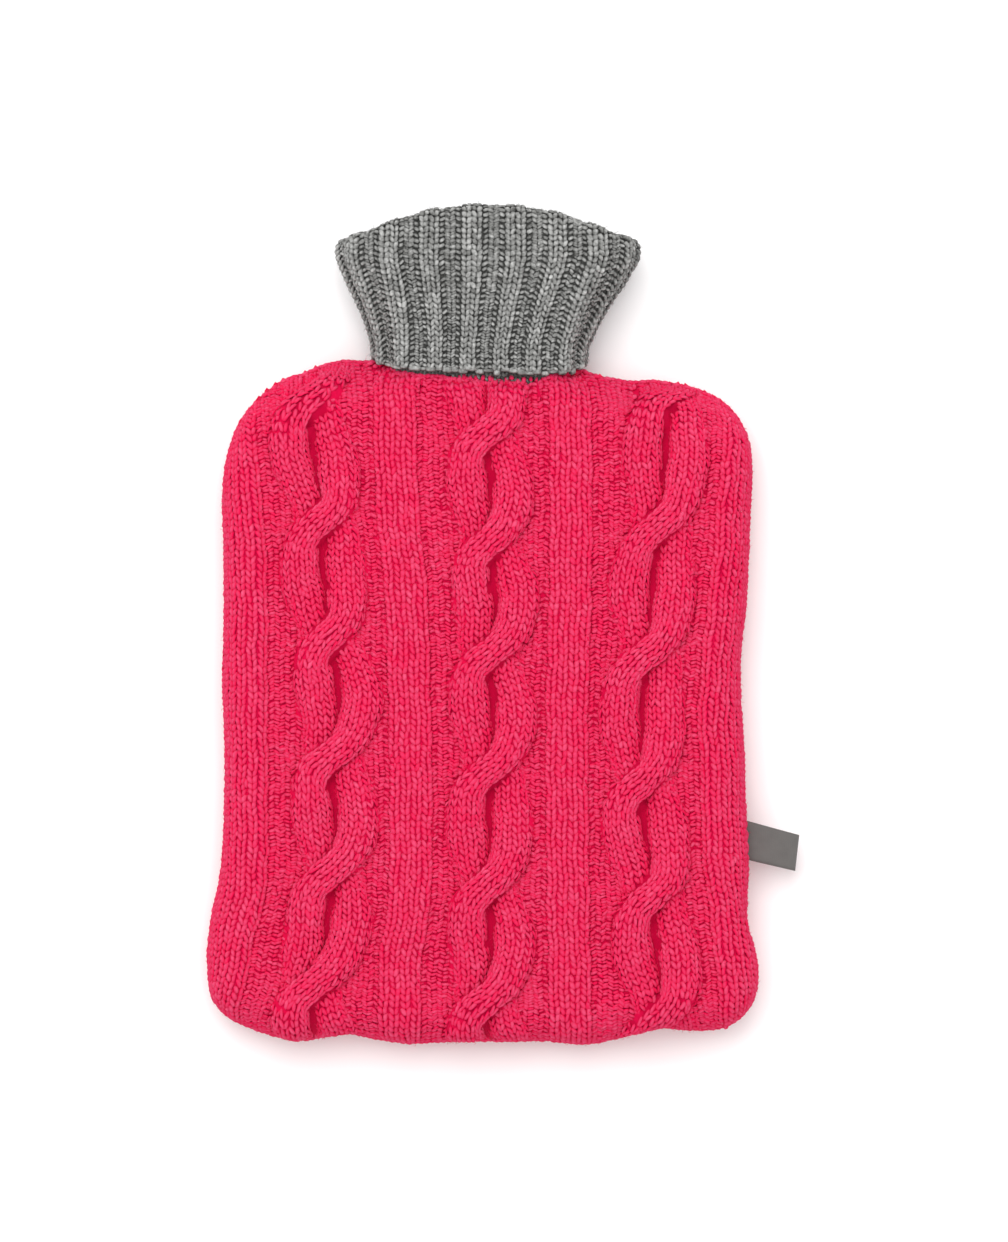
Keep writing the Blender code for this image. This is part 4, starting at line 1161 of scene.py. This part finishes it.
# %% The collar's shape
WALL, LAYER_GAP, NECK_GAP = 3.0, 1.0, 0.7
COLLAR_FLARE = (
    # y, half width of the inner layer, x of the middle, height of the seam, height of the upper side
    (130.0, 39.7, -1.8, 17.0, 34.0),
    (148.0, 39.8, -1.8, 17.0, 34.0),
    (156.0, 42.0, -1.0, 17.4, 34.4),
    (166.0, 46.4, -0.2, 18.6, 35.8),
    (176.0, 52.2, 0.8, 20.2, 37.6),
    (186.0, 57.2, 1.5, 21.4, 39.0),
    (194.0, 57.8, 1.6, 22.0, 39.4),
    (212.0, 57.8, 1.6, 22.2, 39.4),
)
FLARE_CURVE = curve_through(COLLAR_FLARE, LINE_STEPS)
FOLD_TOP, FOLD_ARCH, ARCH_POWER = 208.6, 14.0, 2.2
HEM, HEM_RISE, HEM_SLOPE = 139.6, 4.6, 0.03
RIBS, RIB_SHIFT, RIB_CROWDING, CROWDING_LOSS = 18, 0.14, 0.29, 0.25
RIB_HEIGHT, INNER_RIB_HEIGHT, RIB_FLATTENING = 1.7, 0.2, 3  # the ribs flatten out over the fold
FOLD_RADIUS = WALL + LAYER_GAP / 2


def oval(around, y, outward):
    """Points round the neck. around runs from -1 at the left over the front to 1 at the right, and on
    underneath to 3; outward is the distance from the inner layer's outer face."""
    half, middle, seam, upper = (np.interp(y, FLARE_CURVE[:, 0], column) for column in FLARE_CURVE.T[1:])
    around = (around + 1.0) % 4.0 - 1.0
    side = np.where(around <= 1.0, around, 2.0 - around)
    facing = np.where(around <= 1.0, 1.0, -1.0)
    run = (half - EDGE_ROUND + QUARTER) * side
    angle = np.clip((np.abs(run) - (half - EDGE_ROUND)) / QUARTER, 0.0, 1.0) * math.pi / 2
    x = np.sign(run) * (np.minimum(np.abs(run), half - EDGE_ROUND) + EDGE_ROUND * np.sin(angle))
    rise = np.where(facing > 0, upper - seam, seam - NECK_LIFT)
    place = np.column_stack([
        middle + x + np.sign(run) * np.sin(angle) * outward, y,
        seam + facing * rise * np.cos(angle) + facing * np.cos(angle) * outward,
    ])
    return place, np.cos(angle), np.clip(np.abs(x) / half, 0.0, 1.0)


def collar_edges(rib, share):
    """Where a rib lies round the neck, and the height of the collar's hem, base and fold there."""
    around = 4.0 * rib / RIBS - 1.0
    centre = 2.0 * np.floor((around + 1.0) / 2.0)
    side = around - centre
    crowding = RIB_CROWDING * (1.0 - CROWDING_LOSS * share)
    around = centre + side * (1.0 + crowding) - crowding * side**3
    place, up, off = oval(around, np.full(len(around), NECK_TOP), 0.0)
    hem = HEM + HEM_RISE * (1.0 - up) - HEM_SLOPE * place[:, 0]
    base = NECK_TOP + NECK_GAP - NECK_DIP * up - NECK_SLOPE * place[:, 0]
    fold = FOLD_TOP - FOLD_ARCH * off**ARCH_POWER - FOLD_RADIUS
    return around, hem, base, fold


def on_collar(rib, way, lift):
    """Places on the collar, at a way along the knitting from the hem, and at a lift off its outer face."""
    _, hem, base, fold = collar_edges(rib, np.full(len(rib), 0.5))
    share = np.clip(way / (fold - hem), 0.0, 1.0)
    around, hem, base, fold = collar_edges(rib, share)
    over = np.clip((way - (fold - hem)) / FOLD_RADIUS, 0.0, math.pi)
    down = np.maximum(way - (fold - hem) - math.pi * FOLD_RADIUS, 0.0)
    ribbed = 0.5 + 0.5 * np.cos(2.0 * math.pi * (rib - RIB_SHIFT))
    before_fold = (0.5 + 0.5 * np.cos(over)) ** RIB_FLATTENING
    height = ribbed * (INNER_RIB_HEIGHT + (RIB_HEIGHT - INNER_RIB_HEIGHT) * before_fold)
    radius = FOLD_RADIUS + height + lift
    y = hem + np.minimum(way, fold - hem) + radius * np.sin(over) - down
    return oval(around, y, LAYER_GAP / 2 + radius * np.cos(over))[0]


def under_collar(rib, rise, lift):
    """Places on the strip of the inner layer that shows below the hem, at a rise above the neck."""
    around, _, base, _ = collar_edges(rib, np.zeros(len(rib)))
    return oval(around, base + rise, lift)[0]


print(f"collar: {RIBS} ribs, from {HEM:.0f} mm at the hem to {FOLD_TOP:.0f} mm at the fold")

# %% The collar's ground
COLLAR_STEPS_ROUND = 216
STEPS_UP, STEPS_OVER, STEPS_DOWN = 24, 8, 16  # of the rings: up to the fold, over it, and down to the neck
COLLAR_SINK = 1.5  # from the collar's outer face to the sheet's
COLLAR_SHEET = 1.3
WELD = 0.005  # where the grid comes round to its start, its points lie this close


def collar_sheet():
    """The sheet under the collar's stitches: a closed shell from the hem over the fold to the neck."""
    rib = np.arange(COLLAR_STEPS_ROUND) * RIBS / COLLAR_STEPS_ROUND
    _, hem, base, fold = collar_edges(rib, np.ones(len(rib)))
    up = fold - hem
    turned = math.pi * FOLD_RADIUS
    ways = [up * share for share in np.linspace(0.0, 1.0, STEPS_UP + 1)]
    ways += [up + turned * share for share in np.linspace(0.0, 1.0, STEPS_OVER + 1)[1:]]
    ways += [up + turned + (fold - base) * share for share in np.linspace(0.0, 1.0, STEPS_DOWN + 1)[1:]]
    outer = [on_collar(rib, way, -COLLAR_SINK) for way in ways]
    inner = [on_collar(rib, way, -COLLAR_SINK - COLLAR_SHEET) for way in ways]
    rings = np.array(outer + inner[::-1])
    bm = bmesh.new()
    tone = bm.verts.layers.float.new("tone")
    grid = bmesh.ops.create_grid(bm, x_segments=COLLAR_STEPS_ROUND, y_segments=len(rings), size=0.5)
    for vert in grid["verts"]:
        step = round((vert.co.x + 0.5) * COLLAR_STEPS_ROUND) % COLLAR_STEPS_ROUND
        ring = round((vert.co.y + 0.5) * len(rings)) % len(rings)
        vert.co = rings[ring, step] * MM
        # painted shade on the grey ground between the stitches
        vert[tone] = PAINTED_GAP_SHADE
    bmesh.ops.remove_doubles(bm, verts=bm.verts, dist=WELD * MM)
    return add_piece("collar_ground", bm, GREY_WOOL)


collar_ground = collar_sheet()

# %% The collar's stitches
RIB_ROW = 2.25
HEM_CLEAR = 1.6  # from the hem to the first row
MOUTH_ROWS = 12  # that show inside the mouth, below the fold
KNIT_WALES, PURL_WALES, FEET_WALES = (-0.12, 0.12), (0.375, 0.625), (0.5,)  # in ribs, from the middle of one
WALES_IN_RIB = 4
RIB_PEEK = 0.03  # how far the spot aside lies from the middle of a stitch, in ribs


def rib_width(middle, aside):
    """The width of a stitch, from its middle and a spot aside."""
    return np.linalg.norm(aside - middle, axis=1) / WALES_IN_RIB / RIB_PEEK


def rib_stitches(wales, lift, leg, by_width, spots_of, ways_of, shade):
    """Stitches of all ribs. leg is the yarn's half size, and by_width tells which of its parts are in stitch
    widths in place of millimetres."""
    found = []
    for rib_number in range(RIBS):
        for wale_place in wales:
            rib = rib_number + RIB_SHIFT + wale_place
            ways = ways_of(rib)
            ribs = np.full(len(ways), rib)
            made = {
                "middle": spots_of(ribs, ways, lift),
                "ahead": spots_of(ribs, ways + PEEK, lift),
                "aside": spots_of(ribs + RIB_PEEK, ways, lift),
            }
            made["width"] = rib_width(made["middle"], made["aside"])
            made["leg"] = np.array(leg) * np.where(by_width, made["width"][:, None], 1.0)
            made["slant"], made["shade"] = np.ones(len(ways)), np.full(len(ways), shade)
            found.append(made)
    return joined(*found)


def outer_ways(rib):
    """The rows from the hem to the fold, over it and a little way into the mouth."""
    _, hem, _, fold = collar_edges(np.array([rib]), np.array([1.0]))
    end = (fold - hem)[0] + math.pi * FOLD_RADIUS + MOUTH_ROWS * RIB_ROW
    return np.arange(HEM_CLEAR, end, RIB_ROW)


def feet_ways(rib):
    """The same, half a row on."""
    return outer_ways(rib) + RIB_ROW / 2


# %% Knit the ribs and the valleys between them
RIB_KNIT_LEG = {"leg": (0.235, 0.9, 1.75), "by_width": (True, False, False)}
RIB_PURL_LEG = {"leg": (0.19, 0.7, 0.33), "by_width": (True, False, True)}
RIB_LIFT, VALLEY_LIFT, FEET_LIFT = -0.55, -0.75, -0.95
# painted light on the knit ribs that stand out, painted shade on the sunken purl valleys and more on their
# feet
RIB_PAINTED_LIGHT, VALLEY_PAINTED_SHADE, FEET_PAINTED_SHADE = 0.4, -0.3, -1.5
RIB_TILT = 62.0
RIB_KNIT = {"tilt_left": 26.0, "tilt_right": 20.0, "pitch_in": 0.2, "spread": 0.24, "unevenness": 1.6}
RIB_PURL = {"pitch_in": 0.05, "spread": 0.25, "unevenness": 2.2}
VALLEY_PURL = {"tilt_left": -RIB_TILT, "tilt_right": -RIB_TILT, **RIB_PURL}
FEET_PURL = {"tilt_left": RIB_TILT, "tilt_right": RIB_TILT, **RIB_PURL}
ribs = rib_stitches(KNIT_WALES, RIB_LIFT, **RIB_KNIT_LEG, spots_of=on_collar, ways_of=outer_ways,
                    shade=RIB_PAINTED_LIGHT)
valleys = rib_stitches(PURL_WALES, VALLEY_LIFT, **RIB_PURL_LEG, spots_of=on_collar, ways_of=outer_ways,
                       shade=VALLEY_PAINTED_SHADE)
feet = rib_stitches(FEET_WALES, FEET_LIFT, **RIB_PURL_LEG, spots_of=on_collar, ways_of=feet_ways,
                    shade=FEET_PAINTED_SHADE)
knit("collar_ribs", legs_of(ribs, **RIB_KNIT), GREY_WOOL, "grey_rib", **YARN)
knit("collar_valleys", legs_of(valleys, **VALLEY_PURL), GREY_WOOL, "grey_rib", **PURL_YARN)
knit("collar_valley_feet", legs_of(feet, **FEET_PURL), GREY_WOOL, "grey_rib", **PURL_YARN)

# %% The cast-off hem, and the strip of the inner layer below it
STRIP_LIFT, STRIP_ROWS, STRIP_START = -0.7, 5, 0.4
STRIP_SHADE = -4.0  # it lies in the shadow of the hem
HEM_SINK, HEM_WAVER = -1.2, (0.5, 0.1)  # lift of the chain, and its way up from the hem for every other leg
HEM_LEG = (1.2, 1.35, 0.66)  # the yarn's half size, the last in stitch widths


def strip_ways(rib):
    """The rows from the join up to under the hem."""
    place = under_collar(np.array([rib]), 0.0, 0.0)[0]
    dip = float(join_dip(place[0])) if place[2] > SEAM_HEIGHT else 0.0
    return STRIP_START - dip + np.arange(STRIP_ROWS) * RIB_ROW


def hem_chain():
    """The cast-off edge: one plump leg for each column, along the hem."""
    number = np.arange(WALES_IN_RIB * RIBS)
    ribs = (number + 0.5) / WALES_IN_RIB + RIB_SHIFT
    ways = np.take(HEM_WAVER, number % 2)
    made = {
        "middle": on_collar(ribs, ways, HEM_SINK),
        "ahead": on_collar(ribs + RIB_PEEK, ways, HEM_SINK),
        "aside": on_collar(ribs, ways - PEEK, HEM_SINK),
    }
    width = rib_width(made["middle"], made["ahead"])
    made["leg"] = np.array(HEM_LEG) * np.where((False, False, True), width[:, None], 1.0)
    return made


strip = rib_stitches(PURL_WALES + KNIT_WALES, STRIP_LIFT, **RIB_KNIT_LEG, spots_of=under_collar,
                     ways_of=strip_ways, shade=STRIP_SHADE)
knit("collar_hem", single(hem_chain(), 0.15, 3.0), GREY_WOOL, "grey_rib", **CHAIN_YARN)
knit("collar_foot", legs_of(strip, **RIB_KNIT), GREY_WOOL, "grey_rib", **YARN)

# %% The join at the neck
JOIN_STEP, JOIN_BELOW, JOIN_LIFT = 1.7, 1.7, -0.7
JOIN_LEG = np.array([1.05, 0.9, 1.35])
NECK_ROUND = 8.0 * EDGE_ROUND + 4.0 * QUARTER  # about the way round the neck


def join_row():
    """Pink legs that lie along the neck, where the grey stitches were picked up."""
    ribs = np.arange(0.0, RIBS, JOIN_STEP * RIBS / NECK_ROUND)
    rises = np.array([strip_ways(rib)[0] for rib in ribs]) - JOIN_BELOW
    made = {
        "middle": under_collar(ribs, rises, JOIN_LIFT),
        "ahead": under_collar(ribs + RIB_PEEK, rises, JOIN_LIFT),
        "aside": under_collar(ribs, rises - PEEK, JOIN_LIFT),
    }
    made["leg"] = np.broadcast_to(JOIN_LEG, (len(ribs), 3))
    return made


knit("neck_join", single(join_row(), 0.1, 2.0), PINK_WOOL, "pink_knit", **CHAIN_YARN)

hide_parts("ribbed_collar")

# %% [markdown]
# ## Stray hairs
#
# Lambswool is never smooth: fine hairs work out of the yarn all over and soften every edge. The same tree
# draws them too, as very thin legs that start in the yarn and lean out of it at random. They are some
# five times as thick as real ones, which would be too fine to show, and there are far fewer of them.

# %% Hairs
HAIR_RADIUS = 0.07
HAIR_HALF = (0.6, 1.4)  # the shortest and the longest half length
HAIR_RISE = (0.1, 1.0)  # how much it stands up, for each part that it leans over
ROOT_UP, ROOT_SHARE = 0.6, 0.9  # from a leg's middle up to the root, and from there to the hair's middle
HAIR_CLEAR = 2.2  # no hair's middle lies lower than this, so that none reaches the table
HAIR_TONE = 3.0
HAIR = {"sides": 3, "rings": 2, "plumpness": -0.4, "arch": 8.0, "underside": -1.0}
PINK_HAIRS, GREY_HAIRS = 7000, 2600


def hairs_of(names, count):
    """Hairs that start at stitches picked by chance."""
    roots = joined(*[{key: placed[name][key] for key in ("place", "facing", "heading")} for name in names])
    pick = CHANCE.choice(len(roots["place"]), count, replace=False)
    out = roots["facing"][pick] / np.linalg.norm(roots["facing"][pick], axis=1)[:, None]
    lean = CHANCE.normal(0.0, 1.0, (count, 3))
    lean -= out * np.einsum("ij,ij->i", lean, out)[:, None]
    heading = lean / np.linalg.norm(lean, axis=1)[:, None] + out * CHANCE.uniform(*HAIR_RISE, count)[:, None]
    heading /= np.linalg.norm(heading, axis=1)[:, None]
    half = CHANCE.uniform(*HAIR_HALF, count)
    place = roots["place"][pick] + out * ROOT_UP + heading * half[:, None] * ROOT_SHARE
    clear = place[:, 2] > HAIR_CLEAR
    thin = np.full(count, HAIR_RADIUS)
    return {
        "place": place[clear], "heading": heading[clear], "facing": out[clear],
        "size": np.column_stack([thin, thin, half])[clear], "tone": np.full(clear.sum(), HAIR_TONE),
    }


fluffy = [name for name in placed if name.endswith("stitches") and name != "back_stitches"] + ["seam_chain"]
knit("pink_hairs", hairs_of(fluffy, PINK_HAIRS), PINK_WOOL, "pink_knit", **HAIR)
fluffy = ["collar_ribs", "collar_valleys", "collar_hem"]
knit("grey_hairs", hairs_of(fluffy, GREY_HAIRS), GREY_WOOL, "grey_rib", **HAIR)

# %% [markdown]
# ## The side label
#
# A soft woven tape, folded in two, with both ends caught in the side seam. Its face is plain. It is
# finely ribbed across, smoother than the wool, and it droops a little towards its fold.

# %% Woven tape
TAPE_RIB = 0.9  # real ones are 0.3 mm apart, which is too fine to show
BAND_PERIOD = math.pi / 10  # of a wave texture of scale 1, in its own units
WORN_SIZE, WORN_START, WORN_WEIGHT = 4.0, 0.15, 0.7  # of the paler patches
WEAVE_HEIGHT = 0.1


def woven_tape(name, colour, worn_colour):
    """Polyester tape, woven on narrow looms: even, faintly ribbed across, with a soft gloss."""
    material, tree, place = empty_material(name)
    tape = add_node(tree, "ShaderNodeUVMap", {"uv_map": "tape"}).outputs[0]
    ribs = add_node(tree, "ShaderNodeTexWave", {"bands_direction": "X", "wave_profile": "SIN"}, {
        "Vector": tape, "Scale": BAND_PERIOD / (TAPE_RIB * MM), "Distortion": 0.6, "Detail": 1.0,
    })
    patches = noise(tree, place, WORN_SIZE, 3.0)
    worn = maths(tree, "MULTIPLY_ADD", patches, WORN_WEIGHT, WORN_START, clamped=True)
    mixed = add_node(tree, "ShaderNodeMix", {"data_type": "RGBA"},
                     {0: worn, 6: linear(colour), 7: linear(worn_colour)})
    bump = add_node(tree, "ShaderNodeBump", (),
                    {"Strength": 0.35, "Distance": WEAVE_HEIGHT * MM, "Height": ribs.outputs["Fac"]})
    shader = add_node(tree, "ShaderNodeBsdfPrincipled", (), {
        "Base Color": mixed.outputs[2], "Roughness": 0.7, "Specular IOR Level": 0.3, "Sheen Weight": 0.1,
        "Normal": bump.outputs[0],
    })
    add_node(tree, "ShaderNodeOutputMaterial", (), {"Surface": shader.outputs[0]})
    return material


GREY_TAPE = woven_tape("grey woven polyester tape", "#575452", "#6A6765")
print("material:", GREY_TAPE.name)

# %% Label
LABEL_CORNERS = (
    # x, y of the corners: upper one at the seam, upper and lower one at the fold, lower one at the seam
    (111.8, -48.0), (131.4, -53.4), (129.7, -68.4), (111.8, -64.2),
)
LABEL_ROOT = 4.2  # how far it goes on inside the seam
LABEL_DROOP, DROOP_POWER = 3.5, 1.6  # of its fold
LABEL_CURL = 0.35  # of the fold's two ends, upwards
TAPE_THICKNESS, TAPE_WIDTH = 0.4, 15.0
TAPE_STEPS_LONG, TAPE_STEPS_ACROSS = 60, 10


def folded_label():
    """The tape's surface from one end, round the fold, to the other, thickened both ways."""
    top_root, top_tip, bottom_tip, bottom_root = (np.array(corner) for corner in LABEL_CORNERS)
    length = np.linalg.norm(top_tip - top_root)
    loop = (LABEL_THICKNESS - TAPE_THICKNESS) / 2  # radius of the fold, in the middle of the tape
    straight = length + LABEL_ROOT - loop
    total = 2.0 * straight + math.pi * loop
    bm = bmesh.new()
    tape = bm.loops.layers.uv.new("tape")
    spots = {}
    grid = bmesh.ops.create_grid(bm, x_segments=TAPE_STEPS_LONG, y_segments=TAPE_STEPS_ACROSS, size=0.5)
    for vert in grid["verts"]:
        way, across = (vert.co.x + 0.5) * total, vert.co.y + 0.5
        spots[vert] = (way * MM, across * TAPE_WIDTH * MM)
        over = min(max((way - straight) / loop, 0.0), math.pi)
        run = min(way, straight, total - way) if over in (0.0, math.pi) else straight
        share = (run + loop * math.sin(over) - LABEL_ROOT) / length
        lower = bottom_root + (bottom_tip - bottom_root) * share
        upper = top_root + (top_tip - top_root) * share
        place = lower + (upper - lower) * across
        curl = LABEL_CURL * max(share, 0.0) ** 2 * (2.0 * across - 1.0) ** 2
        droop = LABEL_DROOP * max(share, 0.0) ** DROOP_POWER
        height = SEAM_HEIGHT + SEAM_GAP / 2 + LABEL_THICKNESS / 2 - droop + curl + loop * math.cos(over)
        vert.co = (place[0] * MM, place[1] * MM, height * MM)
    for face in bm.faces:
        for corner in face.loops:
            corner[tape].uv = spots[corner.vert]
    area = sum(face.calc_area() for face in bm.faces)
    piece = add_piece("folded_label", bm, GREY_TAPE)
    thick = piece.modifiers.new("tape", "SOLIDIFY")
    thick.thickness, thick.offset = TAPE_THICKNESS * MM, 0.0
    print(f"folded_label: {area * 1e4:.1f} square centimetres of tape")
    return piece, area


folded, tape_area = folded_label()
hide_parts("side_label")

# %% [markdown]
# ## The table, the light and the camera
#
# The photo is a catalogue picture: white all round, soft light from above, and hardly any shadow. So the
# table is white, a large soft panel hangs over it, a little to the far side, and the white room fills in
# the rest. The camera looks straight down from far enough away to flatten the perspective, as a long lens
# does.

# %% Table and room
FLOOR_HALF = 3.0  # metres
FLOOR_ROUGHNESS, ROOM_LIGHT = 0.9, 0.95

floor_mesh = bpy.data.meshes.new("table_top")
corners = [(FLOOR_HALF * x, FLOOR_HALF * y, 0.0) for x, y in ((-1, -1), (1, -1), (1, 1), (-1, 1))]
floor_mesh.from_pydata(corners, [], [(0, 1, 2, 3)])
floor = bpy.data.objects.new("table_top", floor_mesh)
bpy.context.scene.collection.objects.link(floor)
white = bpy.data.materials.new("white painted table")
white.use_nodes = True
paint = white.node_tree.nodes["Principled BSDF"].inputs
paint["Base Color"].default_value = linear("#FFFFFF")
paint["Roughness"].default_value = FLOOR_ROUGHNESS
floor_mesh.materials.append(white)

world = bpy.data.worlds.new("white room")
bpy.context.scene.world = world
world.use_nodes = True
room = world.node_tree.nodes["Background"].inputs
room["Color"].default_value = linear("#FFFFFF")
room["Strength"].default_value = ROOM_LIGHT
print(f"table: {2 * FLOOR_HALF:.0f} m wide, in {world.name}")

# %% Light and camera
LAMP_LEFT, LAMP_BEYOND, LAMP_UP = 0.25, 0.75, 1.9  # metres from the cover
LAMP_SIZE, LAMP_POWER = 1.5, 24.0
CAMERA_HEIGHT = 4.0
VIEW_HEIGHT = 0.518  # metres of table that the picture shows from top to bottom
VIEW_MIDDLE = (0.00834, 0.03587)

panel_light = bpy.data.lights.new("soft panel", "AREA")
panel_light.size = LAMP_SIZE
panel_light.energy = LAMP_POWER
lamp = bpy.data.objects.new("soft_panel", panel_light)
bpy.context.scene.collection.objects.link(lamp)
lamp.location = (-LAMP_LEFT, LAMP_BEYOND, LAMP_UP)
lamp.rotation_euler = (-math.atan2(LAMP_BEYOND, LAMP_UP), -math.atan2(LAMP_LEFT, LAMP_UP), 0.0)

camera = bpy.data.cameras.new("camera")
camera.lens = camera.sensor_width * (CAMERA_HEIGHT - SEAM_HEIGHT * MM) / VIEW_HEIGHT
view = bpy.data.objects.new("camera", camera)
bpy.context.scene.collection.objects.link(view)
view.location = (*VIEW_MIDDLE, CAMERA_HEIGHT)
bpy.context.scene.camera = view
bpy.context.scene.view_settings.view_transform = "Standard"
print(f"camera: {camera.lens:.0f} mm lens, {CAMERA_HEIGHT:.0f} m above the table")
